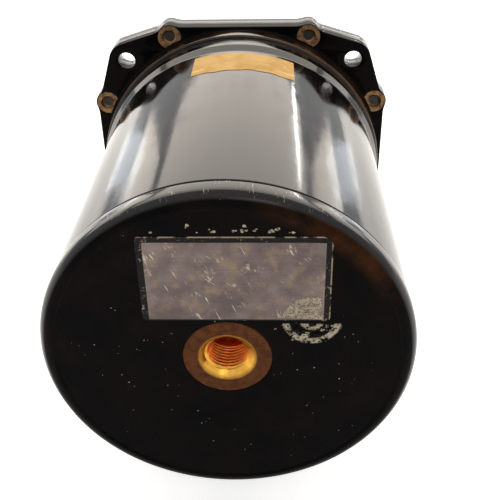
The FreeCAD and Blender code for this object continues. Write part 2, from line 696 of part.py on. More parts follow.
def bezel():
    """The front bezel: a plate behind the panel and a ring that stands through its round hole."""
    plate = flange_blank(0.0, BEZEL_PLATE)
    front = -BEZEL_RING_HEIGHT
    lip = front + BEZEL_LIP
    rebate = GLASS_RADIUS + GLASS_EDGE_CLEARANCE
    ring = turned(
        [
            (0.0, front),
            (BEZEL_RING_RADIUS - EDGE_BEVEL, front),
            (BEZEL_RING_RADIUS, front + EDGE_BEVEL),
            (BEZEL_RING_RADIUS, BEZEL_PLATE),
            (0.0, BEZEL_PLATE),
        ]
    )
    cuts = [
        disc(BEZEL_SIGHT_RADIUS, front, BEZEL_PLATE),
        cone(BEZEL_SIGHT_RADIUS + BEZEL_SIGHT_BEVEL, BEZEL_SIGHT_RADIUS, front, front + BEZEL_SIGHT_BEVEL),
        disc(rebate, lip, BEZEL_PLATE),
        disc(BUSH_RADIUS, front, BEZEL_PLATE, KNOB),
    ]
    cuts += [disc(PANEL_HOLE_RADIUS, 0.0, BEZEL_PLATE, c) for c in PANEL_HOLES]
    for c in insert_places():
        clear = BEZEL_SCREW_RADIUS + BEZEL_SCREW_CLEARANCE
        cuts.append(disc(clear, 0.0, BEZEL_PLATE, c))
        cuts.append(cone(BEZEL_SCREW_HEAD_RADIUS, BEZEL_SCREW_RADIUS, 0.0, BEZEL_SCREW_HEAD_DEPTH, c))
    return joined([plate, ring]).cut(cuts)


def glazing():
    """The front gasket, the cover glass and the ring that seals the glass against the case."""
    lip = BEZEL_LIP - BEZEL_RING_HEIGHT
    glass = lip + FRONT_GASKET
    seat = glass + GLASS_THICKNESS
    gasket = tube(GLASS_RADIUS, BEZEL_SIGHT_RADIUS + GASKET_STEP, lip, glass)
    pane = disc(GLASS_RADIUS, glass, seat)
    seal = tube(GLASS_RADIUS, SEAL_INNER_RADIUS, seat, CASE_FRONT_Y)
    return gasket, pane, seal


def dial():
    """The dial plate with the barometric window, the centre hole and its screw holes."""
    plate = disc(DIAL_RADIUS, DIAL_FACE_Y, DIAL_REAR_Y)
    half = WINDOW_HALF_ANGLE
    window = ring_sector(
        WINDOW_OUTER_RADIUS, WINDOW_INNER_RADIUS, 0.0, half, half, (0.0, 0.0), DIAL_FACE_Y - 0.4
    )
    cuts = [window, disc(DIAL_HOLE_RADIUS, DIAL_FACE_Y, DIAL_REAR_Y)]
    for angle in DIAL_POST_ANGLES:
        cuts.append(disc(DIAL_SCREW_RADIUS, DIAL_FACE_Y, DIAL_REAR_Y, polar(DIAL_POST_PITCH_RADIUS, angle)))
    return plate.cut(cuts)


def dial_posts_and_screws():
    """The posts that carry the dial and the screws that hold it to them."""
    posts = []
    screws = []
    grip = (FRONT_PLATE_Y - DIAL_REAR_Y) * 0.6
    for angle in DIAL_POST_ANGLES:
        centre = polar(DIAL_POST_PITCH_RADIUS, angle)
        post = disc(DIAL_POST_RADIUS, DIAL_REAR_Y, FRONT_PLATE_Y, centre)
        posts.append(post.cut(disc(DIAL_SCREW_RADIUS, DIAL_REAR_Y, DIAL_REAR_Y + grip, centre)))
        head = disc(DIAL_SCREW_HEAD_RADIUS, DIAL_FACE_Y - DIAL_SCREW_HEAD, DIAL_FACE_Y, centre)
        shank = disc(DIAL_SCREW_RADIUS, DIAL_FACE_Y, DIAL_REAR_Y + grip, centre)
        screws.append(joined([head, shank]))
    return posts, screws


def pointer(outline, y_from, bore, turns):
    """A flat pointer with its hub, drawn pointing up and turned to its reading at rest."""
    blade = plate_from(outline, y_from, POINTER_THICKNESS)
    hub = disc(bore + POINTER_HUB_WALL, y_from, y_from + POINTER_THICKNESS)
    solid = joined([blade, hub]).cut(disc(bore, y_from, y_from + POINTER_THICKNESS))
    return turn_about(solid, (0.0, 0.0), 360.0 * turns)


def long_pointer():
    """The long pointer that shows hundreds of feet."""
    half = LONG_POINTER_WIDTH / 2.0
    shoulder = LONG_POINTER_REACH - LONG_POINTER_TIP
    outline = [
        (-half * 0.6, -LONG_POINTER_TAIL),
        (half * 0.6, -LONG_POINTER_TAIL),
        (half * 0.5, 0.0),
        (half, shoulder),
        (0.0, LONG_POINTER_REACH),
        (-half, shoulder),
        (-half * 0.5, 0.0),
    ]
    return pointer(outline, LONG_POINTER_Y, STAFF_RADIUS, REST_TURNS)


def broad_pointer():
    """The short broad pointer that shows thousands of feet."""
    half = BROAD_POINTER_WIDTH / 2.0
    shoulder = BROAD_POINTER_REACH - BROAD_POINTER_TIP
    outline = [
        (-half * 0.5, -BROAD_POINTER_TAIL),
        (half * 0.5, -BROAD_POINTER_TAIL),
        (half * 0.35, 0.0),
        (half, shoulder),
        (0.0, BROAD_POINTER_REACH),
        (-half, shoulder),
        (-half * 0.35, 0.0),
    ]
    return pointer(outline, BROAD_POINTER_Y, THOUSANDS_RADIUS, REST_TURNS / 10.0)


def thin_pointer():
    """The thin pointer with a flag at its end that shows tens of thousands of feet."""
    half = THIN_POINTER_WIDTH / 2.0
    neck = THIN_POINTER_REACH - THIN_POINTER_FLAG
    flag = THIN_POINTER_FLAG / 2.0
    outline = [
        (-half, 0.0),
        (half, 0.0),
        (half, neck),
        (flag, THIN_POINTER_REACH),
        (-flag, THIN_POINTER_REACH),
        (-half, neck),
    ]
    return pointer(outline, THIN_POINTER_Y, TEN_THOUSANDS_RADIUS, REST_TURNS / 100.0)


def pointer_shafts():
    """The centre staff and the two tubes that run on it, with the pinions cut on them."""
    thickness = WHEEL_THICKNESS + 2.0 * PINION_EXTRA
    staff = disc(STAFF_RADIUS, LONG_POINTER_Y - PINION_EXTRA, MIDDLE_PLATE_Y - END_SHAKE)
    pivot = disc(PIVOT_RADIUS, MIDDLE_PLATE_Y - END_SHAKE, MIDDLE_PLATE_Y + PIVOT_LENGTH)
    staff_a = gear(SLOW_PINION_TEETH, MODULE_A, (0, 0), LAYSHAFT_A_ANGLE, LEVEL_A - PINION_EXTRA, thickness)
    staff_lift = gear(
        CENTRE_PINION_TEETH, LIFT_MODULE, (0, 0), MIDDLE_ARBOR_ANGLE, LEVEL_MIDDLE - PINION_EXTRA, thickness
    )
    staff = joined([staff, pivot, staff_a, staff_lift])
    end = LEVEL_THOUSAND + WHEEL_THICKNESS
    bar = disc(THOUSANDS_RADIUS, BROAD_POINTER_Y, end)
    leaves = gear(SLOW_PINION_TEETH, MODULE_B, (0, 0), LAYSHAFT_B_ANGLE, LEVEL_B - PINION_EXTRA, thickness)
    thousands = joined([bar, leaves]).cut(disc(THOUSANDS_BORE, BROAD_POINTER_Y, end))
    ten_end = LEVEL_TEN + WHEEL_THICKNESS
    ten_thousands = tube(TEN_THOUSANDS_RADIUS, TEN_THOUSANDS_BORE, THIN_POINTER_Y, ten_end)
    return staff, thousands, ten_thousands


def facing(angle, teeth):
    """The tooth angle that puts a gap, not a tooth, towards the angle given."""
    return angle + 180.0 / teeth


def slow_train(module, centre, angle, level_in, level_out, bore_out):
    """One ten-to-one step: an arbor with its pinion, its wheel and the slow wheel on the pointer tube."""
    thickness = WHEEL_THICKNESS + 2.0 * PINION_EXTRA
    arbor = pivot_bar(STAFF_RADIUS, FRONT_PLATE_REAR_Y, MIDDLE_PLATE_Y, centre)
    low = level_out - PINION_EXTRA
    leaves = gear(SLOW_SECOND_PINION_TEETH, module, centre, angle + 180.0, low, thickness)
    wheel = gear(
        SLOW_WHEEL_TEETH, module, centre, facing(angle + 180.0, SLOW_WHEEL_TEETH), level_in,
        WHEEL_THICKNESS, STAFF_RADIUS,
    )
    slow = gear(
        SLOW_SECOND_WHEEL_TEETH, module, (0, 0), facing(angle, SLOW_SECOND_WHEEL_TEETH), level_out,
        WHEEL_THICKNESS, bore_out,
    )
    return joined([arbor, leaves]), wheel, slow


def lifting_train():
    """The middle arbor with its pinion and wheel, and the rocker with its toothed sector."""
    arbor = pivot_bar(STAFF_RADIUS, FRONT_PLATE_REAR_Y, REAR_PLATE_Y, MIDDLE_ARBOR)
    thickness = WHEEL_THICKNESS + 2.0 * PINION_EXTRA
    leaves = gear(
        MIDDLE_PINION_TEETH, LIFT_MODULE, MIDDLE_ARBOR, 90.0, LEVEL_SECTOR - PINION_EXTRA, thickness
    )
    wheel = gear(
        MIDDLE_WHEEL_TEETH, LIFT_MODULE, MIDDLE_ARBOR, facing(MIDDLE_ARBOR_ANGLE - 180.0, MIDDLE_WHEEL_TEETH),
        LEVEL_MIDDLE, WHEEL_THICKNESS, STAFF_RADIUS,
    )
    wheel = crossed_out(
        wheel, MIDDLE_WHEEL_TEETH, LIFT_MODULE, MIDDLE_ARBOR, LEVEL_MIDDLE, 4, 45.0, 2.0 * STAFF_RADIUS
    )
    return joined([arbor, leaves]), wheel


def sector_gear():
    """The toothed sector with its arms and the tail that carries the balance weight."""
    pitch_angle = 360.0 / SECTOR_FULL_TEETH
    first = -round((SECTOR_LOW_SIDE + 0.5 * pitch_angle) / pitch_angle)
    last = round((SECTOR_HIGH_SIDE + 0.5 * pitch_angle) / pitch_angle)
    pitch = LIFT_MODULE * SECTOR_FULL_TEETH / 2.0
    rim = pitch - (TOOTH_DEDENDUM + 4.0) * LIFT_MODULE
    teeth = []
    for i in range(first, last):
        teeth += tooth_corners(SECTOR_FULL_TEETH, LIFT_MODULE, 270.0 + (i + 0.5) * pitch_angle)
    corners = [polar(rim, 270.0 + first * pitch_angle)]
    corners += teeth
    corners.append(polar(rim, 270.0 + last * pitch_angle))
    steps = 6
    for i in range(1, steps):
        back = last + (first - last) * i / steps
        corners.append(polar(rim, 270.0 + back * pitch_angle))
    placed = [(ROCKER[0] + x, ROCKER[1] + z) for x, z in corners]
    toothed = plate_from(placed, LEVEL_SECTOR, WHEEL_THICKNESS)
    end = LEVEL_SECTOR + WHEEL_THICKNESS
    middle = 270.0 + (first + last) / 2.0 * pitch_angle
    arms = [disc(ROCKER_HUB_RADIUS + 0.6, LEVEL_SECTOR, end, ROCKER)]
    spread = (last - first) / 2.0 * pitch_angle - 4.0
    for side in (-1, 1):
        bearing = middle + side * spread
        arms.append(arm_strip(ROCKER, bearing, 0.0, rim + 0.6, 2.4, LEVEL_SECTOR, WHEEL_THICKNESS))
    arms.append(arm_strip(ROCKER, middle + 180.0, 0.0, WEIGHT_ARM, 2.4, LEVEL_SECTOR, WHEEL_THICKNESS))
    x, z = polar(WEIGHT_ARM, middle + 180.0)
    seat = (ROCKER[0] + x, ROCKER[1] + z)
    arms.append(disc(WEIGHT_RADIUS, LEVEL_SECTOR, end, seat))
    bore = disc(ROCKER_RADIUS, LEVEL_SECTOR, end, ROCKER)
    weight = disc(WEIGHT_RADIUS, end, end + WEIGHT_THICKNESS, seat)
    return joined([toothed] + arms).cut(bore), weight


def arm_strip(centre, angle, from_radius, to_radius, width, y_from, thickness):
    """A straight strip that leaves a centre at an angle."""
    half = width / 2.0
    strip = block(from_radius, to_radius, y_from, y_from + thickness, -half, half)
    strip.rotate(point(0, 0, 0), point(0, 1, 0), -angle)
    strip.translate(point(centre[0], 0, centre[1]))
    return strip


def rocking_shaft():
    """The rocking shaft from the middle plate to the lug of the bridge."""
    return pivot_bar(ROCKER_RADIUS, MIDDLE_PLATE_REAR_Y, lug_front(), ROCKER)


def rocking_arm():
    """The crank on the rocking shaft, with the pin that the link hangs from."""
    rear = CAPSULE_AXIS_Y + POST_RADIUS
    front = rear - ARM_THICKNESS
    angle = math.degrees(math.atan2(ARM_PIN[1] - ROCKER[1], ARM_PIN[0] - ROCKER[0]))
    hub = disc(ROCKER_HUB_RADIUS, front, rear, ROCKER)
    strip = arm_strip(ROCKER, angle, 0.0, ROCKER_ARM, 2.0, front, ARM_THICKNESS)
    eye = disc(1.0, front, rear, ARM_PIN)
    pin = disc(LINK_PIN_RADIUS, rear, rear + link_reach(), ARM_PIN)
    return joined([hub, strip, eye, pin]).cut(disc(ROCKER_RADIUS, front, rear, ROCKER))


def link_reach():
    """How far the link pins stand out behind the crank."""
    return 2.0 * END_SHAKE + LINK_THICKNESS + 0.3


def lug_front():
    """The front face of the bridge's lug, clear of the link pins."""
    return CAPSULE_AXIS_Y + POST_RADIUS + link_reach() + LINK_THICKNESS


def drag_link():
    """The link from the crank to the capsule post, with a slotted lower eye."""
    front = CAPSULE_AXIS_Y + POST_RADIUS + END_SHAKE
    rear = front + LINK_THICKNESS
    top = ARM_PIN
    low = (CAPSULE_AXIS_X, POST_PIN_Z)
    eye = LINK_PIN_RADIUS + LINK_EYE_WALL
    side = eye + LINK_SLIP
    half = LINK_PIN_RADIUS + LINK_SLIP_HEIGHT
    reach = half + LINK_SLIP
    lower = block(low[0] - LINK_SLIP, low[0] + LINK_SLIP, front, rear, low[1] - eye, low[1] + eye)
    ends = [disc(eye, front, rear, (low[0] + s * LINK_SLIP, low[1])) for s in (-1, 1)]
    web = block(top[0] - 0.7, top[0] + 0.7, front, rear, low[1], top[1])
    upper = disc(eye, front, rear, top)
    slot = block(low[0] - LINK_SLIP, low[0] + LINK_SLIP, front, rear, low[1] - half, low[1] + half)
    slot_ends = [disc(half, front, rear, (low[0] + s * LINK_SLIP, low[1])) for s in (-1, 1)]
    bore = disc(LINK_PIN_RADIUS + SHAFT_CLEARANCE, front, rear, top)
    return joined([lower, web, upper] + ends).cut([slot, bore] + slot_ends)


def capsule_post():
    """The post on top of the capsule stack with the cross pin for the link."""
    base = point(CAPSULE_AXIS_X, CAPSULE_AXIS_Y, CAPSULE_TOP_Z)
    post = Part.makeCylinder(POST_RADIUS, POST_PIN_Z - CAPSULE_TOP_Z + POST_HEAD, base, point(0, 0, 1))
    end = CAPSULE_AXIS_Y + POST_RADIUS + link_reach()
    pin = disc(LINK_PIN_RADIUS, CAPSULE_AXIS_Y, end, (CAPSULE_AXIS_X, POST_PIN_Z))
    return joined([post, pin])


def capsule(z_base):
    """One sealed capsule: two corrugated diaphragms joined at the rim, with a boss at each centre."""
    half = CAPSULE_THICKNESS / 2.0
    rim = CAPSULE_RADIUS
    crest = half - 0.8
    valley = half - 1.8
    upper = [
        (CAPSULE_BOSS_RADIUS, half),
        (rim * 0.45, valley),
        (rim * 0.65, crest),
        (rim * 0.85, valley),
        (rim, CAPSULE_WALL),
    ]
    outer = [(0.0, -half - CAPSULE_BOSS / 2.0), (CAPSULE_BOSS_RADIUS, -half - CAPSULE_BOSS / 2.0)]
    outer += [(r, -h) for r, h in upper]
    outer += list(reversed(upper))
    outer += [(CAPSULE_BOSS_RADIUS, half + CAPSULE_BOSS / 2.0), (0.0, half + CAPSULE_BOSS / 2.0)]
    flat = valley - CAPSULE_WALL
    inner = [(0.0, -flat), (rim * 0.8, -flat), (rim * 0.8, flat), (0.0, flat)]
    middle = z_base + CAPSULE_BOSS / 2.0 + half
    shapes = []
    for profile in (outer, inner):
        corners = [point(CAPSULE_AXIS_X + r, CAPSULE_AXIS_Y, middle + h) for r, h in profile]
        face = Part.Face(rounded_wire(corners, {}))
        axis = point(CAPSULE_AXIS_X, CAPSULE_AXIS_Y, middle)
        shapes.append(face.revolve(axis, point(0, 0, 1), 360))
    return shapes[0].cut(shapes[1])


def capsule_stud():
    """The stud under the stack that goes through the cradle, with its head against the capsule."""
    base = point(CAPSULE_AXIS_X, CAPSULE_AXIS_Y, cradle_top())
    head = Part.makeCylinder(CAPSULE_BOSS_RADIUS, CAPSULE_BASE_Z - cradle_top(), base, point(0, 0, 1))
    start = cradle_top() - CRADLE_THICKNESS - NUT_THICKNESS
    foot = point(CAPSULE_AXIS_X, CAPSULE_AXIS_Y, start)
    shank = Part.makeCylinder(CAPSULE_STUD_RADIUS, cradle_top() - start, foot, point(0, 0, 1))
    return joined([head, shank])


def cradle_top():
    """The height of the cradle's upper face, below the capsules."""
    return CAPSULE_BASE_Z - CRADLE_DROP


def capsule_cradle():
    """The angle bracket on the rear plate that carries the capsule stack."""
    top = cradle_top()
    start = REAR_PLATE_REAR_Y
    end = CAPSULE_AXIS_Y + CRADLE_HALF_WIDTH
    left = CAPSULE_AXIS_X - CRADLE_HALF_WIDTH
    right = CAPSULE_AXIS_X + CRADLE_HALF_WIDTH
    shelf = block(left, right, start, end, top - CRADLE_THICKNESS, top)
    leaf = block(left, right, start, start + CRADLE_THICKNESS, top, top + CRADLE_LEAF)
    foot = point(CAPSULE_AXIS_X, CAPSULE_AXIS_Y, top - CRADLE_THICKNESS)
    hole = Part.makeCylinder(CAPSULE_STUD_RADIUS, CRADLE_THICKNESS, foot, point(0, 0, 1))
    end = start + CRADLE_THICKNESS
    cuts = [hole] + [disc(PLATE_SCREW_RADIUS, start, end, c) for c in cradle_screw_places()]
    return joined([shelf, leaf]).cut(cuts)


def cradle_screw_places():
    """Where the screws hold the cradle to the rear plate."""
    height = cradle_top() + CRADLE_LEAF - 3.0
    spread = CRADLE_HALF_WIDTH - 3.0
    return [(CAPSULE_AXIS_X - spread, height), (CAPSULE_AXIS_X + spread, height)]


def bridge_screw_places():
    """Where the screws hold the bridge to the rear plate."""
    height = ROCKER[1] + BRIDGE_RISE + BRIDGE_LEAF - 3.2
    return [(ROCKER[0] - 2.0, height), (ROCKER[0] + 2.0, height)]


def shaft_bridge():
    """The bridge over the capsules that carries the rear pivot of the rocking shaft."""
    low = ROCKER[1] + BRIDGE_RISE
    start = REAR_PLATE_REAR_Y
    end = lug_front() + BRIDGE_LUG
    left = ROCKER[0] - BRIDGE_HALF_WIDTH
    right = ROCKER[0] + BRIDGE_HALF_WIDTH
    leaf = block(left, right, start, start + BRIDGE_THICKNESS, low, low + BRIDGE_LEAF)
    bar = block(left, right, start, end, low, low + BRIDGE_THICKNESS)
    lug = block(left, right, end - BRIDGE_LUG, end, ROCKER[1] - 3.6, low + BRIDGE_THICKNESS)
    cuts = [disc(PIVOT_RADIUS + PIVOT_CLEARANCE, end - BRIDGE_LUG, end, ROCKER)]
    cuts += [disc(PLATE_SCREW_RADIUS, start, start + BRIDGE_THICKNESS, c) for c in bridge_screw_places()]
    return joined([leaf, bar, lug]).cut(cuts)


def round_head_screw(centre, seat_y, towards, grip):
    """A screw along Y with its head on the seat and its shank running from the seat the way given."""
    if towards > 0:
        head = disc(PLATE_SCREW_HEAD_RADIUS, seat_y - SCREW_HEAD, seat_y, centre)
        shank = disc(PLATE_SCREW_RADIUS, seat_y, seat_y + grip, centre)
    else:
        head = disc(PLATE_SCREW_HEAD_RADIUS, seat_y, seat_y + SCREW_HEAD, centre)
        shank = disc(PLATE_SCREW_RADIUS, seat_y - grip, seat_y, centre)
    return joined([head, shank])


def bracket_screws():
    """The screws of the cradle and of the bridge."""
    solids = []
    for c in cradle_screw_places():
        seat = REAR_PLATE_REAR_Y + CRADLE_THICKNESS
        solids.append(round_head_screw(c, seat, -1, CRADLE_THICKNESS + INNER_PLATE_THICKNESS))
    for c in bridge_screw_places():
        seat = REAR_PLATE_REAR_Y + BRIDGE_THICKNESS
        solids.append(round_head_screw(c, seat, -1, BRIDGE_THICKNESS + INNER_PLATE_THICKNESS))
    return solids


def pillar_places():
    """Centres of the pillars between the plates."""
    return [polar(PILLAR_PITCH_RADIUS, a) for a in PILLAR_ANGLES]


def front_plate():
    """The front plate with the hub that the barometric disc turns on."""
    plate = disc(FRONT_PLATE_RADIUS, FRONT_PLATE_Y, FRONT_PLATE_REAR_Y)
    shoulder = disc(BARO_SHOULDER_RADIUS, BARO_DISC_Y + BARO_DISC_THICKNESS + END_SHAKE, FRONT_PLATE_Y)
    clip_y = baro_clip_y()
    hub = disc(BARO_BEARING_RADIUS, clip_y - BARO_CLIP_GROOVE, FRONT_PLATE_Y)
    groove = tube(
        BARO_BEARING_RADIUS, BARO_BEARING_RADIUS - BARO_CLIP_GROOVE, clip_y, clip_y + BARO_CLIP_THICKNESS
    )
    passage = TEN_THOUSANDS_RADIUS + SHAFT_CLEARANCE
    cuts = [groove, disc(passage, clip_y - BARO_CLIP_GROOVE, FRONT_PLATE_REAR_Y)]
    cuts += pivot_holes((LAYSHAFT_A, LAYSHAFT_B, MIDDLE_ARBOR), FRONT_PLATE_Y, FRONT_PLATE_REAR_Y)
    for a in RIB_ANGLES:
        centre = polar(RIB_PITCH_RADIUS, a)
        cuts.append(disc(PLATE_SCREW_RADIUS, FRONT_PLATE_Y, FRONT_PLATE_REAR_Y, centre))
        cuts.append(disc(PLATE_SCREW_HEAD_RADIUS, FRONT_PLATE_Y, FRONT_PLATE_Y + SCREW_HEAD, centre))
    cuts.append(disc(IDLER_STUD_RADIUS, FRONT_PLATE_Y, FRONT_PLATE_REAR_Y, IDLER))
    return joined([plate, shoulder, hub]).cut(cuts)


def pivot_holes(centres, y_from, y_to):
    """The plain pivot holes through a plate."""
    return [disc(PIVOT_RADIUS + PIVOT_CLEARANCE, y_from, y_to, c) for c in centres]


def baro_clip_y():
    """Where the clip stands in front of the barometric disc."""
    return BARO_DISC_Y - END_SHAKE - BARO_CLIP_THICKNESS


def middle_plate():
    """The middle plate, which carries the rear pivots of the slow train."""
    rear = MIDDLE_PLATE_REAR_Y
    plate = disc(INNER_PLATE_RADIUS, MIDDLE_PLATE_Y, rear)
    cuts = pivot_holes(((0.0, 0.0), LAYSHAFT_A, LAYSHAFT_B, ROCKER), MIDDLE_PLATE_Y, rear)
    cuts.append(disc(2.0 * STAFF_RADIUS, MIDDLE_PLATE_Y, rear, MIDDLE_ARBOR))
    return plate.cut(cuts)


def rear_plate():
    """The rear plate, which carries the brackets of the capsule stack."""
    rear = REAR_PLATE_REAR_Y
    plate = disc(INNER_PLATE_RADIUS, REAR_PLATE_Y, rear)
    cuts = pivot_holes((MIDDLE_ARBOR,), REAR_PLATE_Y, rear)
    cuts.append(disc(ROCKER_RADIUS + 4.0 * SHAFT_CLEARANCE, REAR_PLATE_Y, rear, ROCKER))
    screws = pillar_places() + cradle_screw_places() + bridge_screw_places()
    cuts += [disc(PLATE_SCREW_RADIUS, REAR_PLATE_Y, rear, c) for c in screws]
    return plate.cut(cuts)


def pillars():
    """The front pillars, the rear pillars and the screws behind the rear plate."""
    front = []
    rear = []
    screws = []
    for c in pillar_places():
        front.append(disc(PILLAR_RADIUS, FRONT_PLATE_REAR_Y, MIDDLE_PLATE_Y, c))
        back = disc(PILLAR_RADIUS, MIDDLE_PLATE_REAR_Y, REAR_PLATE_Y, c)
        low = REAR_PLATE_Y - PLATE_SCREW_GRIP / 2.0
        rear.append(back.cut(disc(PLATE_SCREW_RADIUS, low, REAR_PLATE_Y, c)))
        grip = INNER_PLATE_THICKNESS + PLATE_SCREW_GRIP / 2.0
        screws.append(round_head_screw(c, REAR_PLATE_REAR_Y, -1, grip))
    return front, rear, screws


def movement_screws():
    """The screws that hold the movement to the ribs of the case."""
    solids = []
    for a in RIB_ANGLES:
        seat = FRONT_PLATE_Y + SCREW_HEAD
        grip = PLATE_THICKNESS - SCREW_HEAD + PLATE_SCREW_GRIP
        solids.append(round_head_screw(polar(RIB_PITCH_RADIUS, a), seat, 1, grip))
    return solids


def hairspring():
    """The spiral hairspring about the middle arbor, with its stud on the rear plate."""
    edges = []
    sides = (HAIRSPRING_INNER, HAIRSPRING_INNER + HAIRSPRING_THICKNESS)
    for side in sides:
        run = []
        for i in range(2 * HAIRSPRING_TURNS):
            run.append(half_turn(side, i))
        edges.append(run)
    inner, outer = edges
    first = inner[0].Vertexes[0].Point
    start = Part.LineSegment(outer[0].Vertexes[0].Point, first).toShape()
    end = Part.LineSegment(inner[-1].Vertexes[-1].Point, outer[-1].Vertexes[-1].Point).toShape()
    wire = Part.Wire(Part.__sortEdges__(inner + [end] + outer + [start]))
    strip = Part.Face(wire).extrude(point(0, HAIRSPRING_HEIGHT, 0))
    reach = HAIRSPRING_INNER + HAIRSPRING_PITCH * HAIRSPRING_TURNS + HAIRSPRING_THICKNESS
    stud_at = (MIDDLE_ARBOR[0] + reach + 0.6, MIDDLE_ARBOR[1])
    stud = disc(0.6, HAIRSPRING_Y, REAR_PLATE_Y, stud_at)
    return strip, stud


def half_turn(start_radius, number):
    """One half turn of the hairspring as an arc that moves out by half the pitch."""
    step = HAIRSPRING_PITCH / 2.0
    side = 1.0 if number % 2 == 0 else -1.0
    inner = start_radius + number * step
    outer = inner + step
    centre = MIDDLE_ARBOR[0] + side * (inner - outer) / 2.0
    radius = (inner + outer) / 2.0
    first = point(centre + side * radius, HAIRSPRING_Y, MIDDLE_ARBOR[1])
    top = point(centre, HAIRSPRING_Y, MIDDLE_ARBOR[1] + side * radius)
    last = point(centre - side * radius, HAIRSPRING_Y, MIDDLE_ARBOR[1])
    return Part.Arc(first, top, last).toShape()


def baro_parts():
    """The barometric disc, its clip, the setting idler and its stud."""
    bore = BARO_BEARING_RADIUS + BARO_RUN_CLEARANCE
    tooth_gap = facing(BARO_ANGLE, BARO_DISC_TEETH)
    plate = gear(BARO_DISC_TEETH, BARO_MODULE, (0, 0), tooth_gap, BARO_DISC_Y, BARO_DISC_THICKNESS, bore)
    low = baro_clip_y()
    clip_bore = BARO_BEARING_RADIUS - BARO_CLIP_GROOVE
    clip = tube(BARO_CLIP_RADIUS, clip_bore, low, low + BARO_CLIP_THICKNESS)
    thickness = BARO_DISC_THICKNESS + 2.0 * END_SHAKE
    front = BARO_DISC_Y - END_SHAKE
    stud_bore = IDLER_STUD_RADIUS + SHAFT_CLEARANCE
    idler = gear(BARO_IDLER_TEETH, BARO_MODULE, IDLER, BARO_ANGLE + 180.0, front, thickness, stud_bore)
    head = disc(IDLER_STUD_HEAD_RADIUS, front - END_SHAKE - 0.4, front - END_SHAKE, IDLER)
    shank = disc(IDLER_STUD_RADIUS, front - END_SHAKE, FRONT_PLATE_REAR_Y, IDLER)
    collar = disc(IDLER_STUD_HEAD_RADIUS, front + thickness + END_SHAKE, FRONT_PLATE_Y, IDLER)
    return plate, clip, idler, joined([head, shank, collar])


def knob_parts():
    """The fluted knob, its set screw, the stem, the pinion behind the bezel, the bush and the seal."""
    rear = KNOB_FRONT_Y + KNOB_LENGTH
    stem_front = KNOB_FRONT_Y + KNOB_LENGTH * 0.3
    thickness = BARO_DISC_THICKNESS + 2.0 * END_SHAKE
    pinion_y = BARO_DISC_Y - END_SHAKE
    stem = disc(KNOB_STEM_RADIUS, stem_front, pinion_y + thickness + 0.3, KNOB)
    grip = KNOB_RADIUS - KNOB_FLUTE_RADIUS / 2.0
    crown = joined([
        cone(grip - EDGE_BEVEL, grip, KNOB_FRONT_Y, KNOB_FRONT_Y + EDGE_BEVEL, KNOB),
        disc(grip, KNOB_FRONT_Y + EDGE_BEVEL, rear, KNOB),
    ])
    skirt = disc(KNOB_RADIUS, rear - KNOB_SKIRT, rear, KNOB)
    flutes = []
    for i in range(KNOB_FLUTES):
        x, z = polar(KNOB_RADIUS, i * 360.0 / KNOB_FLUTES)
        flutes.append(disc(KNOB_FLUTE_RADIUS, KNOB_FRONT_Y, rear - KNOB_SKIRT, (KNOB[0] + x, KNOB[1] + z)))
    set_y = KNOB_FRONT_Y + KNOB_LENGTH * 0.6
    length = KNOB_RADIUS - KNOB_STEM_RADIUS - KNOB_FLUTE_RADIUS
    start = point(KNOB[0], set_y, KNOB[1] - KNOB_STEM_RADIUS - length)
    grub = Part.makeCylinder(KNOB_SET_SCREW_RADIUS, length, start, point(0, 0, 1))
    hole = Part.makeCylinder(KNOB_SET_SCREW_RADIUS, length + KNOB_FLUTE_RADIUS + 1.0,
                             start - point(0, 0, KNOB_FLUTE_RADIUS + 1.0), point(0, 0, 1))
    knob = joined([crown.cut(flutes), skirt]).cut([disc(KNOB_STEM_RADIUS, stem_front, rear, KNOB), hole])
    towards = BARO_ANGLE + 180.0
    pinion = gear(BARO_PINION_TEETH, BARO_MODULE, KNOB, towards, pinion_y, thickness, KNOB_STEM_RADIUS)
    collar_end = BEZEL_PLATE + BUSH_COLLAR
    sleeve = disc(BUSH_RADIUS, -BUSH_FRONT, BEZEL_PLATE, KNOB)
    collar = disc(BUSH_COLLAR_RADIUS, BEZEL_PLATE, collar_end, KNOB)
    stem_bore = disc(KNOB_STEM_RADIUS + SHAFT_CLEARANCE, -BUSH_FRONT, collar_end, KNOB)
    groove = disc(SEAL_GROOVE_RADIUS, -SEAL_WIDTH, 0.0, KNOB)
    bush = joined([sleeve, collar]).cut([stem_bore, groove])
    seal = tube(SEAL_GROOVE_RADIUS, KNOB_STEM_RADIUS + PIVOT_CLEARANCE, -SEAL_WIDTH, 0.0, KNOB)
    return knob, grub, stem, pinion, bush, seal


def data_plate():
    """The foil data plate on the rear face."""
    half_x = PLATE_WIDTH / 2.0
    half_z = PLATE_HEIGHT / 2.0
    x = PLATE_CENTRE_X
    z = PLATE_CENTRE_Z
    corners = [
        (x - half_x, z - half_z),
        (x + half_x, z - half_z),
        (x + half_x, z + half_z),
        (x - half_x, z + half_z),
    ]
    radii = {0: PLATE_CORNER, 1: PLATE_CORNER, 2: PLATE_CORNER, 3: PLATE_CORNER}
    return plate_from(corners, REAR_FACE_Y, PLATE_FOIL, radii)


def case_tape():
    """The tape strip that lies on top of the case, following its draft."""
    end = TAPE_FRONT_Y + TAPE_WIDTH
    inner_front = body_radius(TAPE_FRONT_Y)
    inner_rear = body_radius(end)
    strip = turned(
        [
            (inner_front, TAPE_FRONT_Y),
            (inner_front + TAPE_THICKNESS, TAPE_FRONT_Y),
            (inner_rear + TAPE_THICKNESS, end),
            (inner_rear, end),
        ]
    )
    middle = (TAPE_FROM_ANGLE + TAPE_TO_ANGLE) / 2.0
    half = (TAPE_TO_ANGLE - TAPE_FROM_ANGLE) / 2.0
    far = 2.0 * inner_rear
    corners = [(0.0, 0.0), polar(far, middle - half), polar(far, middle + half)]
    return strip.common(plate_from(corners, TAPE_FRONT_Y, TAPE_WIDTH))


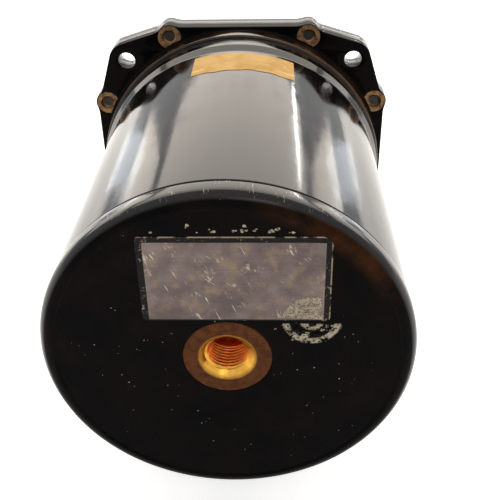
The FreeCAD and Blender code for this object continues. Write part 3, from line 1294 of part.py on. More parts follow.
def capsule_nut():
    """The hexagon nut under the cradle."""
    top = cradle_top() - CRADLE_THICKNESS
    across = NUT_ACROSS_FLATS / math.cos(math.radians(30.0)) / 2.0
    corners = []
    for i in range(6):
        x, y = polar(across, 60.0 * i)
        corners.append(point(CAPSULE_AXIS_X + x, CAPSULE_AXIS_Y + y, top - NUT_THICKNESS))
    prism = Part.Face(Part.makePolygon(corners + [corners[0]])).extrude(point(0, 0, NUT_THICKNESS))
    foot = point(CAPSULE_AXIS_X, CAPSULE_AXIS_Y, top - NUT_THICKNESS)
    return prism.cut(Part.makeCylinder(CAPSULE_STUD_RADIUS, NUT_THICKNESS, foot, point(0, 0, 1)))


def build_outside():
    """Write the case, the bezel, the glazing and what is fixed to them."""
    save("case_shell", case_shell())
    save("static_port", static_port())
    save("bezel_inserts", *bezel_inserts())
    save("bezel_screws", *bezel_screws())
    save("bezel", bezel())
    gasket, pane, seal = glazing()
    save("glass_gasket", gasket)
    save("cover_glass", pane)
    save("glass_seal_ring", seal)
    save("data_plate", data_plate())
    save("case_tape", case_tape())


def build_dial_side():
    """Write the dial, the pointers, the barometric setting and the knob."""
    save("dial", dial())
    posts, screws = dial_posts_and_screws()
    save("dial_posts", *posts)
    save("dial_screws", *screws)
    save("pointer_hundreds", long_pointer())
    save("pointer_thousands", broad_pointer())
    save("pointer_ten_thousands", thin_pointer())
    plate, clip, idler, stud = baro_parts()
    save("baro_disc", plate)
    save("baro_disc_clip", clip)
    save("setting_idler", idler)
    save("idler_stud", stud)
    knob, grub, stem, pinion, bush, seal = knob_parts()
    save("knob", knob)
    save("knob_set_screw", grub)
    save("knob_stem", stem)
    save("knob_pinion", pinion)
    save("knob_bush", bush)
    save("knob_seal", seal)


def build_movement():
    """Write the plates, the pillars and the wheels between them."""
    save("front_plate", front_plate())
    save("middle_plate", middle_plate())
    save("rear_plate", rear_plate())
    front, rear, screws = pillars()
    save("front_pillars", *front)
    save("rear_pillars", *rear)
    save("pillar_screws", *screws)
    save("movement_screws", *movement_screws())
    staff, thousands, ten_thousands = pointer_shafts()
    save("centre_staff", staff)
    save("thousands_tube", thousands)
    save("ten_thousands_tube", ten_thousands)
    arbor, wheel, slow = slow_train(
        MODULE_A, LAYSHAFT_A, LAYSHAFT_A_ANGLE, LEVEL_A, LEVEL_THOUSAND, THOUSANDS_RADIUS
    )
    save("layshaft_a", arbor)
    save("layshaft_a_wheel", wheel)
    save("thousands_wheel", slow)
    arbor, wheel, slow = slow_train(
        MODULE_B, LAYSHAFT_B, LAYSHAFT_B_ANGLE, LEVEL_B, LEVEL_TEN, TEN_THOUSANDS_RADIUS
    )
    save("layshaft_b", arbor)
    save("layshaft_b_wheel", wheel)
    save("ten_thousands_wheel", slow)
    arbor, wheel = lifting_train()
    save("middle_arbor", arbor)
    save("middle_wheel", wheel)
    spring, stud = hairspring()
    save("hairspring", spring)
    save("hairspring_stud", stud)


def build_capsules():
    """Write the rocking shaft, the link and the capsule stack with its brackets."""
    save("rocking_shaft", rocking_shaft())
    sector, weight = sector_gear()
    save("sector_gear", sector)
    save("balance_weight", weight)
    save("rocking_arm", rocking_arm())
    save("drag_link", drag_link())
    save("capsule_post", capsule_post())
    save("capsule_lower", capsule(CAPSULE_BASE_Z))
    save("capsule_upper", capsule(CAPSULE_BASE_Z + CAPSULE_THICKNESS + CAPSULE_BOSS))
    save("capsule_stud", capsule_stud())
    save("capsule_nut", capsule_nut())
    save("capsule_cradle", capsule_cradle())
    save("shaft_bridge", shaft_bridge())
    save("bracket_screws", *bracket_screws())


os.makedirs("parts", exist_ok=True)
build_outside()
build_dial_side()
build_movement()
build_capsules()
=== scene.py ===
"""Looks of a panel-mounted three-pointer altimeter, seen from behind and above."""

import json
import logging
import math
import random
from dataclasses import dataclass
from enum import Enum
from typing import Callable, Iterable, Optional, Sequence, Union

import bmesh
import bpy
from mathutils import Matrix, Vector


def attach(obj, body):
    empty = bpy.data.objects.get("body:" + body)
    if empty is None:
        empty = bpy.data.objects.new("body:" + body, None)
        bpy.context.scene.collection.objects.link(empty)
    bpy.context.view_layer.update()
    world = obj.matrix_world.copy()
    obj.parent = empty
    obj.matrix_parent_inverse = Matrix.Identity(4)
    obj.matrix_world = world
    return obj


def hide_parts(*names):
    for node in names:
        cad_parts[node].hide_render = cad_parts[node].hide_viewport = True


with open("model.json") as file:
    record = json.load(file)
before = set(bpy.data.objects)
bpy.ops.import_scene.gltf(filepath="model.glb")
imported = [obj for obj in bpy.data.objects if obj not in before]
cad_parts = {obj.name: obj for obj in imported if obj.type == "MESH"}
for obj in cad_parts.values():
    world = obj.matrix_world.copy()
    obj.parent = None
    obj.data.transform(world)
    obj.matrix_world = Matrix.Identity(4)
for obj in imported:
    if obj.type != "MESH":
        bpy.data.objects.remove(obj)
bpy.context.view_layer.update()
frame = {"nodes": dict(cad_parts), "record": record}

# One millimetre in metres, limits for comparing lengths, and the angle that gets a bevel.
MM = 0.001
SMALL = 1e-6
WELD = 1e-4
SHARP = 0.9
# Levels, radii and centres that several pieces share, in mm.
BACK = 94.6
PLATE_FRONT = 3.8
PLATE_REAR = 7.0
HOLE = 2.4
INSERT = 3.3
RING = 9.52
RING_DEPTH = 2.4
PORT_BODY = 7.6
PORT_START = 84.1
AXIS = (0.0, 0.0)
STAMP = (-17.4, 10.1)
KNOB = (-29.9097, -29.9097)
Place = tuple[float, float]
Triple = tuple[float, float, float]
Profile = Sequence[Place]
Relief = Callable[[float, float, float], float]
Socket = bpy.types.NodeSocket
Value = Union[float, Triple, Socket]
log = logging.getLogger("altimeter")


class Body(str, Enum):
    """The moving bodies of the assembly."""

    CASE = "case"
    HUNDREDS = "hundreds"
    THOUSANDS = "thousands"
    TEN_THOUSANDS = "ten_thousands"
    BARO_DISC = "baro_disc"
    KNOB = "knob"


class Slot(str, Enum):
    """The material slots of the record, each with a finish of the same name."""

    CASE = "case_black"
    PORT = "port_brass"
    INSERT = "insert_brass"
    FOIL = "plate_foil"
    TAPE = "tape_yellow"
    BEZEL = "bezel_paint"
    SCREW = "screw_steel"
    RUBBER = "seal_rubber"
    GLASS = "cover_glass"
    DIAL = "dial_paint"
    POINTER = "pointer_paint"
    MOVEMENT = "movement_brass"
    ARBOR = "arbor_steel"
    CAPSULE = "capsule_bronze"
    PLATE = "plate_aluminium"
    KNOB = "knob_black"


class Look(str, Enum):
    """The finishes beside those of the slots."""

    PLACARD = "placard_black"
    CREAM = "cream_paint"
    STAMP = "stamp_residue"
    MARKS = "dial_marks"
    DARK_SCREW = "screw_black"
    FLOOR = "floor_pale"


def polar(radius: float, angle: float) -> Place:
    """A point by its radius and its angle in degrees."""
    return radius * math.cos(math.radians(angle)), radius * math.sin(math.radians(angle))


def circle(radius: float, centre: Place = AXIS, count: int = 48) -> list[Place]:
    """Points round a circle."""
    ring = (polar(radius, 360.0 * i / count) for i in range(count))
    return [(centre[0] + x, centre[1] + z) for x, z in ring]


def rounded(profile: Profile, radii: dict[int, float], steps: int = 5) -> list[Place]:
    """The closed outline with arcs at the corners named in radii.

    Args:
        profile: Corners of the closed outline.
        radii: Corner index to the radius of its arc.
        steps: Segments of each arc.

    Returns:
        The new outline.
    """
    out: list[Place] = []
    for i, here in enumerate(profile):
        if i not in radii:
            out.append(here)
            continue
        corner = Vector(here)
        back = (Vector(profile[i - 1]) - corner).normalized()
        ahead = (Vector(profile[(i + 1) % len(profile)]) - corner).normalized()
        half = back.angle(ahead) / 2.0
        centre = corner + (back + ahead).normalized() * (radii[i] / math.sin(half))
        start = corner + back * (radii[i] / math.tan(half)) - centre
        end = corner + ahead * (radii[i] / math.tan(half)) - centre
        for step in range(steps + 1):
            arm = start.lerp(end, step / steps).normalized() * radii[i]
            out.append((centre.x + arm.x, centre.y + arm.y))
    return out


def oblong(near: float, far: float, low: float, high: float) -> list[Place]:
    """The corners of an oblong, such as the (radius, y) profile of a tube or rod."""
    return [(near, low), (far, low), (far, high), (near, high)]


class Shape:
    """A mesh under construction, in mm, in the row frame."""

    def __init__(self) -> None:
        """Start with an empty mesh."""
        self.mesh = bmesh.new()

    def lathe(
        self, profile: Profile, centre: Place = AXIS, segments: int = 96, relief: Optional[Relief] = None
    ) -> "Shape":
        """Turn a closed (radius, y) profile about a line along Y.

        Args:
            profile: Corners of the closed profile.
            centre: Where (x, z) the line crosses.
            segments: Steps round the turn.
            relief: Change of the radius by (radius, y, angle in degrees).

        Returns:
            This shape.
        """
        rings = []
        for radius, y in profile:
            ring = [AXIS]
            if radius >= SMALL:
                angles = [360.0 * i / segments for i in range(segments)]
                ring = [polar(radius + (relief(radius, y, a) if relief else 0.0), a) for a in angles]
            rings.append([self.mesh.verts.new((centre[0] + x, y, centre[1] + z)) for x, z in ring])
        for first, second in zip(rings, rings[1:] + rings[:1]):
            m, n = len(first), len(second)
            for i in range(segments):
                j = i + 1
                corners = dict.fromkeys((first[i % m], first[j % m], second[j % n], second[i % n]))
                if len(corners) > 2:
                    self.mesh.faces.new(tuple(corners))
        return self

    def plate(
        self, outline: Profile, y_from: float, y_to: float, holes: Iterable[Profile] = (), bevel: float = 0.0
    ) -> "Shape":
        """Add a flat plate along Y, with holes and bevelled edges.

        Args:
            outline: Outer (x, z) points.
            y_from: Front level.
            y_to: Rear level.
            holes: Outlines of the holes.
            bevel: Width of the bevel on every edge.

        Returns:
            This shape.
        """
        curve = bpy.data.curves.new("outline", "CURVE")
        curve.dimensions = "2D"
        curve.fill_mode = "BOTH"
        curve.extrude = (y_to - y_from) / 2.0
        for loop in [outline, *holes]:
            spline = curve.splines.new("POLY")
            spline.points.add(len(loop) - 1)
            for place, (x, z) in zip(spline.points, loop):
                place.co = (x, z, 0.0, 1.0)
            spline.use_cyclic_u = True
        upright = Matrix.Rotation(math.pi / 2.0, 4, "X")
        return self._take(curve, Matrix.Translation((0.0, (y_from + y_to) / 2.0, 0.0)) @ upright, bevel)

    def text(
        self, words: str, size: float, place: Place, y: float, turn: float, thickness: float
    ) -> "Shape":
        """Add a plain number that reads from the -Y side.

        Args:
            words: The number.
            size: Height of the type in mm.
            place: Centre (x, z).
            y: Level of the back of the number.
            turn: Turn of the number in degrees, anticlockwise as it is read.
            thickness: How far it stands out towards -Y.

        Returns:
            This shape.
        """
        curve = bpy.data.curves.new("number", "FONT")
        curve.body = words
        curve.size = size
        curve.align_x = curve.align_y = "CENTER"
        curve.extrude = thickness / 2.0
        at = Matrix.Translation((place[0], y - thickness / 2.0, place[1]))
        face = Matrix.Rotation(math.pi / 2.0, 4, "X") @ Matrix.Rotation(math.radians(turn), 4, "Z")
        return self._take(curve, at @ face, 0.0)

    def _take(self, data: bpy.types.ID, matrix: Matrix, bevel: float) -> "Shape":
        """Turn a curve into part of this mesh.

        Args:
            data: The curve.
            matrix: Where it goes.
            bevel: Width of the bevel on the edges of its two faces.

        Returns:
            This shape.
        """
        carrier = bpy.data.objects.new("carrier", data)
        made = self._evaluated(carrier)
        piece = bmesh.new()
        piece.from_mesh(made)
        bmesh.ops.remove_doubles(piece, verts=piece.verts, dist=WELD)
        piece.transform(matrix)
        bmesh.ops.recalc_face_normals(piece, faces=piece.faces)
        if bevel > 0.0:
            rims = [e for e in piece.edges if abs(e.verts[0].co.y - e.verts[1].co.y) < WELD]
            sharp = [e for e in rims if len(e.link_faces) == 2 and e.calc_face_angle() > SHARP]
            bmesh.ops.bevel(piece, geom=sharp, offset=bevel, segments=2, profile=0.5, affect="EDGES")
        piece.to_mesh(made)
        piece.free()
        self.mesh.from_mesh(made)
        bpy.data.objects.remove(carrier)
        bpy.data.meshes.remove(made)
        return self

    @staticmethod
    def _evaluated(item: bpy.types.Object) -> bpy.types.Mesh:
        """The mesh of an object with its modifiers; the object joins the scene for it.

        Args:
            item: The object.

        Returns:
            The new mesh.
        """
        if item.name not in bpy.context.scene.collection.objects:
            bpy.context.scene.collection.objects.link(item)
        bpy.context.view_layer.update()
        return bpy.data.meshes.new_from_object(item.evaluated_get(bpy.context.evaluated_depsgraph_get()))

    def tick(self, span: Place, width: float, angle: float, y: float, thickness: float) -> "Shape":
        """Add a straight radial mark.

        Args:
            span: Inner and outer radius.
            width: Width of the mark.
            angle: Polar angle in degrees.
            y: Level of its back.
            thickness: How far it stands out towards -Y.

        Returns:
            This shape.
        """
        along = Vector(polar(1.0, angle))
        side = Vector((-along.y, along.x)) * width / 2.0
        rows = [(along * radius - side, along * radius + side) for radius in span]
        grid = [[Vector((c.x, y, c.y)) for c in row] for row in rows]
        return self.sheet(grid, lambda p: p - Vector((0.0, thickness, 0.0)))

    def sheet(self, grid: Sequence[Sequence[Vector]], lift: Callable[[Vector], Vector]) -> "Shape":
        """Add a thin closed sheet from a grid of points.

        Args:
            grid: Rows of points on the near side.
            lift: Gives the point of the far side over each point.

        Returns:
            This shape.
        """
        rows, columns = len(grid), len(grid[0])
        near = [[self.mesh.verts.new(p) for p in row] for row in grid]
        far = [[self.mesh.verts.new(lift(p)) for p in row] for row in grid]
        for i in range(rows - 1):
            for j in range(columns - 1):
                self.mesh.faces.new((near[i][j], near[i][j + 1], near[i + 1][j + 1], near[i + 1][j]))
                self.mesh.faces.new((far[i][j], far[i + 1][j], far[i + 1][j + 1], far[i][j + 1]))
        edge = [(0, j) for j in range(columns)] + [(i, columns - 1) for i in range(1, rows)]
        edge += [(rows - 1, j) for j in range(columns - 2, -1, -1)]
        edge += [(i, 0) for i in range(rows - 2, 0, -1)]
        for (i, j), (m, n) in zip(edge, edge[1:] + edge[:1]):
            self.mesh.faces.new((near[i][j], far[i][j], far[m][n], near[m][n]))
        return self

    def cut(self, *cutters: "Shape") -> "Shape":
        """Take other shapes away from this one.

        Args:
            cutters: The shapes to take away.

        Returns:
            This shape.
        """
        for cutter in cutters:
            holder, tool = self._holder(self), self._holder(cutter)
            change = holder.modifiers.new("cut", "BOOLEAN")
            change.object = tool
            change.operation = "DIFFERENCE"
            change.solver = "EXACT"
            made = self._evaluated(holder)
            self.mesh.clear()
            self.mesh.from_mesh(made)
            bpy.data.objects.remove(holder)
            bpy.data.objects.remove(tool)
        return self

    @staticmethod
    def _holder(shape: "Shape") -> bpy.types.Object:
        """An object in the scene that holds a copy of a shape.

        Args:
            shape: The shape.

        Returns:
            The object.
        """
        bmesh.ops.recalc_face_normals(shape.mesh, faces=shape.mesh.faces)
        data = bpy.data.meshes.new("holder")
        shape.mesh.to_mesh(data)
        item = bpy.data.objects.new("holder", data)
        bpy.context.scene.collection.objects.link(item)
        return item

    def add(self, *parts: "Shape") -> "Shape":
        """Take copies of other shapes into this one.

        Args:
            parts: The shapes to add.

        Returns:
            This shape.
        """
        for part in parts:
            data = bpy.data.meshes.new("part")
            part.mesh.to_mesh(data)
            self.mesh.from_mesh(data)
            bpy.data.meshes.remove(data)
        return self

    def finish(self, name: str, crease: float = 32.0, origin: Place = AXIS) -> bpy.types.Object:
        """Make the object, in metres, with smooth faces and creases at sharp edges.

        Args:
            name: Name of the piece.
            crease: Edges sharper than this angle stay sharp.
            origin: Where (x, z) the object's own origin lies, in mm.

        Returns:
            The object.
        """
        bmesh.ops.recalc_face_normals(self.mesh, faces=self.mesh.faces)
        self.mesh.transform(Matrix.Scale(MM, 4) @ Matrix.Translation((-origin[0], 0.0, -origin[1])))
        for face in self.mesh.faces:
            face.smooth = True
        limit = math.radians(crease)
        for edge in self.mesh.edges:
            edge.smooth = len(edge.link_faces) == 2 and edge.calc_face_angle() < limit
        data = bpy.data.meshes.new(name)
        self.mesh.to_mesh(data)
        self.mesh.free()
        item = bpy.data.objects.new(name, data)
        item.location = (origin[0] * MM, 0.0, origin[1] * MM)
        bpy.context.scene.collection.objects.link(item)
        return item


@dataclass(frozen=True)
class Noise:
    """A cloudy pattern: size in mm, levels that become 0 and 1, stretch, shift and turn about Y."""

    size: float
    low: float = 0.3
    high: float = 0.7
    shift: float = 0.0
    stretch: Triple = (1.0, 1.0, 1.0)
    turn: float = 0.0


class Finish:
    """A procedural material whose patterns are measured in mm."""

    def __init__(self, look: Union[Slot, Look]) -> None:
        """Make the material and lay out its nodes.

        Args:
            look: Which finish it is.
        """
        self.look = look
        self.material = bpy.data.materials.new(look.value)
        self.material.use_nodes = True
        self.tree = self.material.node_tree
        self.shader = self.tree.nodes["Principled BSDF"]
        self.mm = self._place(self.node("TexCoord").outputs["Object"], (1.0 / MM,) * 3)
        self.x, self.y, self.z = self.node("SeparateXYZ", self.mm).outputs
        self.paint()

    def paint(self) -> None:
        """Lay out the nodes; each finish has its own."""

    def node(self, kind: str, *values: Value, **named: Value) -> bpy.types.Node:
        """Add a shader node.

        Args:
            kind: Its type, without the leading word.
            values: What its first inputs take.
            named: What the inputs of these names take.

        Returns:
            The node.
        """
        node = self.tree.nodes.new("ShaderNode" + kind)
        for index, value in enumerate(values):
            self.join(value, node.inputs[index])
        for name, value in named.items():
            self.join(value, node.inputs[name.replace("_", " ")])
        return node

    def join(self, source: Value, target: Socket) -> None:
        """Link or set a socket.

        Args:
            source: A socket or a constant.
            target: The input that takes it.
        """
        if isinstance(source, Socket):
            self.tree.links.new(source, target)
        else:
            target.default_value = (*source, 1.0) if target.type == "RGBA" else source

    def _place(self, vector: Socket, stretch: Triple, shift: float = 0.0) -> Socket:
        """The coordinates of a pattern, scaled and shifted."""
        place = (shift, shift * 0.7, shift * 1.3)
        return self.node("Mapping", vector, Scale=stretch, Location=place).outputs[0]

    def zone(self, value: Socket, low: float = 0.0, high: float = 1.0, out: Place = (0.0, 1.0)) -> Socket:
        """Map a value between two limits to a new range."""
        return self.node("MapRange", value, low, high, *out).outputs[0]

    def noise(self, *sizes: float, **more: Union[float, Triple]) -> Socket:
        """A cloudy pattern from 0 to 1, by the numbers of a Noise."""
        return self.cloud(Noise(*sizes, **more))

    def cloud(self, noise: Noise) -> Socket:
        """A cloudy pattern from 0 to 1.

        Args:
            noise: Its numbers.

        Returns:
            The output socket.
        """
        turned = self.node("Mapping", self.mm, Rotation=(0.0, math.radians(noise.turn), 0.0)).outputs[0]
        place = self._place(turned, noise.stretch, noise.shift)
        node = self.node("TexNoise", Vector=place, Scale=1.0 / noise.size, Detail=5.0, Roughness=0.58)
        return self.zone(node.outputs[0], noise.low, noise.high)

    def specks(self, spacing: float, size: float, shift: float) -> Socket:
        """Scattered small spots, 1 inside and 0 outside.

        Args:
            spacing: Distance between the cells that may hold a spot, in mm.
            size: Size of a spot as a share of its cell.
            shift: Shift that tells patterns apart.

        Returns:
            The output socket.
        """
        place = self._place(self.mm, (1.0, 1.0, 1.0), shift)
        node = self.node("TexVoronoi", Vector=place, Scale=1.0 / spacing)
        return self.zone(node.outputs["Distance"], size, size * 0.6)

    def _chain(self, operation: str, values: Sequence[Value]) -> Socket:
        """Arithmetic of one kind through all values in turn.

        Args:
            operation: The kind of arithmetic.
            values: The values.

        Returns:
            The output socket.
        """
        result = values[0]
        for value in values[1:]:
            node = self.node("Math", result, value)
            node.operation = operation
            result = node.outputs[0]
        return result

    def times(self, *values: Value) -> Socket:
        """The product of the values."""
        return self._chain("MULTIPLY", values)

    def plus(self, *values: Value) -> Socket:
        """The sum of the values."""
        return self._chain("ADD", values)

    def most(self, *values: Value) -> Socket:
        """The largest of the values."""
        return self._chain("MAXIMUM", values)

    def radius(self, centre: Place = AXIS) -> Socket:
        """Distance in mm from a line along Y through (x, z)."""
        x, z = self.plus(self.x, -centre[0]), self.plus(self.z, -centre[1])
        return self._chain("POWER", (self.plus(self.times(x, x), self.times(z, z)), 0.5))

    def blend(self, under: Value, over: Value, mask: Socket) -> Socket:
        """One colour laid over another where the mask says."""
        return self.node("MixRGB", mask, under, over).outputs[0]

    def relief(self, height: Socket, depth: float, strength: float = 0.5) -> None:
        """Bump the surface, over any bump it already has.

        Args:
            height: The height pattern.
            depth: Its depth in mm.
            strength: How strongly it shows.
        """
        before = [link.from_socket for link in self.shader.inputs["Normal"].links]
        node = self.node("Bump", Strength=strength, Distance=depth * MM, Height=height)
        for socket in before:
            self.join(socket, node.inputs["Normal"])
        self.join(node.outputs[0], self.shader.inputs["Normal"])

    def give(self, **values: Value) -> None:
        """Set the inputs of the surface shader, named with underscores for spaces."""
        for name, value in values.items():
            self.join(value, self.shader.inputs[name.replace("_", " ")])


class CaseBlack(Finish):
    """Glossy black moulding: streaks along the barrel, dust, a dull, scratched rear face, painted reflections
    on the collar and just inside the rim, and rim-top scratches painted bright as a highlight.
    """

    def paint(self) -> None:
        """Lay out the nodes."""
        x, y, z = self.x, self.y, self.z
        rear = self.zone(y, BACK - 0.5, BACK - 0.1)
        rim = self.times(self.zone(y, 88.5, 90.0), self.zone(y, 94.2, 93.2), self.zone(z, 30.0, 36.0))
        upper = self.times(rear, self.zone(z, -6.0, 12.0))
        cloud = self.noise(9.0, 0.4, 0.66)
        streak = self.noise(3.0, 0.4, 0.7, 11.0, (1.0, 0.12, 1.0))
        dust = self.times(self.specks(1.3, 0.07, 3.0), self.noise(11.0, 0.54, 0.62, 21.0))
        chips = self.times(self.specks(1.9, 0.09, 8.0), upper, self.noise(6.0, 0.55, 0.62, 31.0))
        # Real hairline scratches, kept to the rim top and painted bright there as a painted highlight.
        scratch_glint = self.noise(0.4, 0.6, 0.64, 5.0, (1.0, 0.16, 0.4))
        scratch_glint = self.times(scratch_glint, rim, self.noise(5.0, 0.46, 0.56, 41.0))
        grain = self.noise(0.9, 0.62, 0.8, 15.0)
        tint = self.blend((0.0035, 0.003, 0.0035), (0.008, 0.0055, 0.0045), cloud)
        tint = self.blend(tint, (0.012, 0.009, 0.007), self.times(grain, rear))
        # Painted reflection: a golden-brown arc on the collar, stronger towards -X.
        collar = self.times(self.zone(y, 7.15, 7.8), self.zone(y, 12.5, 11.2))
        collar = self.times(collar, self.zone(x, 8.0, -18.0, (0.35, 1.0)))
        tint = self.blend(tint, (0.1, 0.047, 0.016), self.times(collar, self.noise(7.0, 0.3, 0.6, 51.0)))
        # Painted reflection: an amber arc on the rear face just inside the rim, towards -X and upward.
        lip = self.times(rear, self.zone(self.radius(), 34.0, 35.8), self.zone(x, -5.0, -20.0))
        lip = self.times(lip, self.zone(z, 14.0, 24.0))
        tint = self.blend(tint, (0.075, 0.026, 0.008), self.times(lip, self.noise(6.0, 0.3, 0.6, 61.0)))
        tint = self.blend(tint, (0.07, 0.056, 0.042), dust)
        # Cream chips, and the rim-top scratches painted bright as a highlight.
        tint = self.blend(tint, (0.5, 0.42, 0.3), self.most(chips, scratch_glint))
        gloss = self.plus(self.zone(cloud, out=(0.05, 0.11)), self.zone(streak, out=(0.0, 0.09)))
        gloss = self.plus(gloss, self.times(rear, 0.14), self.times(self.most(dust, scratch_glint), 0.45))
        self.relief(self.noise(6.0, 0.2, 0.8, 2.0), 0.05, 0.3)
        self.relief(self.plus(scratch_glint, chips), 0.02, 0.3)
        dull = self.most(rear, self.zone(y, PLATE_REAR + 0.5, PLATE_REAR + 0.25))
        self.give(Base_Color=tint, Roughness=gloss, Specular_IOR_Level=self.zone(dull, out=(0.32, 0.03)))


class PortBrass(Finish):
    """Aged brass: a dark brown ring, partly patina and partly painted dark reflection, and an orange, golden
    bore.
    """

    def paint(self) -> None:
        """Lay out the nodes."""
        bore = self.zone(self.radius(), 6.3, 5.4)
        patina = self.noise(2.2, 0.42, 0.6)
        worn = self.times(self.noise(0.5, 0.68, 0.74, 4.0), 0.5)
        # Dark brown ring: partly patina, partly a painted dark reflection of the surroundings.
        ring = self.blend((0.09, 0.03, 0.009), (0.06, 0.02, 0.007), patina)
        ring = self.blend(ring, (0.62, 0.36, 0.14), worn)
        gold = self.blend((0.78, 0.42, 0.06), (0.6, 0.11, 0.015), self.zone(self.y, 93.2, 91.2))
        gold = self.blend(gold, (0.4, 0.15, 0.04), self.times(patina, 0.3))
        self.relief(self.noise(0.5, shift=9.0), 0.012, 0.4)
        rough = self.plus(self.zone(bore, out=(0.42, 0.25)), self.times(patina, 0.14))
        self.give(Base_Color=self.blend(ring, gold, bore), Metallic=0.92, Roughness=rough)


class PlateFoil(Finish):
    """Worn silver foil: brushed, stained, scratched and rubbed through in places."""

    def paint(self) -> None:
        """Lay out the nodes."""
        brushed = self.noise(0.35, stretch=(0.03, 1.0, 1.0))
        cloud = self.noise(6.0, 0.38, 0.66, 6.0)
        stain = self.noise(3.4, 0.53, 0.63, 14.0)
        scratch = self.noise(0.42, 0.66, 0.7, 23.0, (0.06, 1.0, 1.4), 38.0)
        cross = self.noise(0.45, 0.67, 0.71, 27.0, (1.2, 1.0, 0.08), -24.0)
        scuff = self.noise(0.5, 0.5, 0.6, 35.0, (0.3, 1.0, 1.2), 61.0)
        scuff = self.times(scuff, self.noise(4.5, 0.58, 0.64, 37.0))
        pits = self.times(self.specks(1.1, 0.15, 5.0), self.noise(5.0, 0.5, 0.58, 33.0))
        tone = self.blend((0.14, 0.105, 0.103), (0.25, 0.195, 0.178), cloud)
        tone = self.blend(tone, (0.1, 0.078, 0.08), self.times(brushed, 0.35))
        tone = self.blend(tone, (0.32, 0.225, 0.12), self.times(stain, 0.42))
        tone = self.blend(tone, (0.72, 0.62, 0.5), self.most(self.times(scuff, 0.7), scratch, cross))
        tone = self.blend(tone, (0.06, 0.05, 0.05), pits)
        self.relief(self.plus(brushed, scratch), 0.01)
        self.relief(self.noise(7.0, 0.2, 0.8, 40.0), 0.12, 0.4)
        self.give(Base_Color=tone, Metallic=0.55, Roughness=self.zone(cloud, out=(0.5, 0.36)))


class PlacardBlack(Finish):
    """Black printed border of the placard, rubbed to cream at its edges."""

    def paint(self) -> None:
        """Lay out the nodes."""
        rub = self.noise(0.7, 0.6, 0.66, 2.0)
        edge = self.most(self.zone(self.z, 30.0, 30.1), self.zone(self.x, -20.7, -20.8))
        edge = self.times(edge, self.noise(2.0, 0.42, 0.52, 9.0))
        bare = self.most(self.times(rub, self.noise(4.0, 0.45, 0.6, 17.0)), edge)
        self.relief(rub, 0.02, 0.4)
        tone = self.blend((0.009, 0.008, 0.008), (0.55, 0.46, 0.33), bare)
        self.give(Base_Color=tone, Roughness=self.zone(rub, out=(0.28, 0.55)), Specular_IOR_Level=0.12)


class TapeYellow(Finish):
    """Yellow paper tape with fibres, creases and soiled patches."""

    def paint(self) -> None:
        """Lay out the nodes."""
        fibre = self.noise(0.5, stretch=(0.2, 1.0, 1.0))
        soil = self.noise(5.0, 0.45, 0.68, 12.0)
        crease = self.noise(2.0, 0.58, 0.64, 19.0, (0.25, 1.0, 1.0))
        tone = self.blend((0.64, 0.37, 0.062), (0.52, 0.27, 0.04), self.times(fibre, 0.5))
        tone = self.blend(tone, (0.42, 0.24, 0.07), self.times(soil, 0.35))
        tone = self.blend(tone, (0.9, 0.62, 0.28), self.times(crease, 0.5))
        self.relief(self.plus(fibre, crease), 0.05)
        self.give(Base_Color=tone, Roughness=self.zone(soil, out=(0.5, 0.72)), Specular_IOR_Level=0.35)


class StampResidue(Finish):
    """What is left of a round cream stamp: worn arcs and patches, clear between them."""

    def paint(self) -> None:
        """Lay out the nodes."""
        r = self.radius(STAMP)
        ring = self.times(self.zone(r, 4.5, 4.8), self.zone(r, 6.1, 5.8))
        inner = self.times(self.zone(r, 0.9, 1.3), self.zone(r, 2.6, 2.2))
        patch = self.noise(1.5, 0.42, 0.46, 7.0)
        fine = self.noise(0.45, 0.36, 0.5, 13.0)
        whole = self.times(self.most(ring, inner, self.noise(2.2, 0.56, 0.6, 3.0)), patch)
        dense = self.times(self.zone(self.z, 10.3, 10.5), self.noise(1.3, 0.44, 0.5, 17.0))
        self.relief(fine, 0.02, 0.4)
        self.give(
            Base_Color=self.blend((0.7, 0.62, 0.47), (0.36, 0.28, 0.18), self.noise(0.9, 0.4, 0.7, 29.0)),
            Roughness=self.zone(fine, out=(0.75, 0.5)),
            Alpha=self.times(self.most(whole, dense), fine, self.zone(r, 6.3, 6.0)),
        )


class CoverGlass(Finish):
    """Clear cover glass with faint smears and dust; light passes straight through it."""

    def paint(self) -> None:
        """Lay out the nodes."""
        smear = self.noise(8.0, 0.45, 0.7, stretch=(1.0, 1.0, 0.4))
        dust = self.specks(1.4, 0.05, 6.0)
        self.give(
            Base_Color=self.blend((0.97, 0.985, 0.98), (0.8, 0.8, 0.78), dust),
            Roughness=self.plus(self.zone(smear, out=(0.0, 0.04)), self.times(dust, 0.5)),
            Transmission_Weight=1.0,
            IOR=1.46,
        )
        shadow = self.node("LightPath").outputs["Is Shadow Ray"]
        clear = self.node("BsdfTransparent", (0.93, 0.95, 0.94)).outputs[0]
        mix = self.node("MixShader", shadow, self.shader.outputs[0], clear)
        self.join(mix.outputs[0], self.tree.nodes["Material Output"].inputs[0])


class PointerPaint(Finish):
    """White pointer paint with a black tail and hub."""

    def paint(self) -> None:
        """Lay out the nodes."""
        age = self.noise(1.5, 0.4, 0.7)
        tone = self.blend((0.82, 0.81, 0.76), (0.7, 0.67, 0.57), age)
        tone = self.blend((0.015, 0.015, 0.015), tone, self.zone(self.z, 5.6, 5.75))
        self.relief(self.noise(0.2, shift=4.0), 0.008)
        self.give(Base_Color=tone, Roughness=self.zone(age, out=(0.48, 0.6)))


@dataclass(frozen=True)
class Tones:
    """A plain finish: a broad cloud tints it and a fine grain bumps it.

    The grain also sets the roughness, or the cloud does where cloudy says so.
    """

    under: Triple
    over: Triple
    cloud: Noise
    grain: Noise
    depth: float
    rough: Place
    metal: float = 0.0
    strength: float = 0.5
    specular: float = 0.5
    cloudy: bool = False


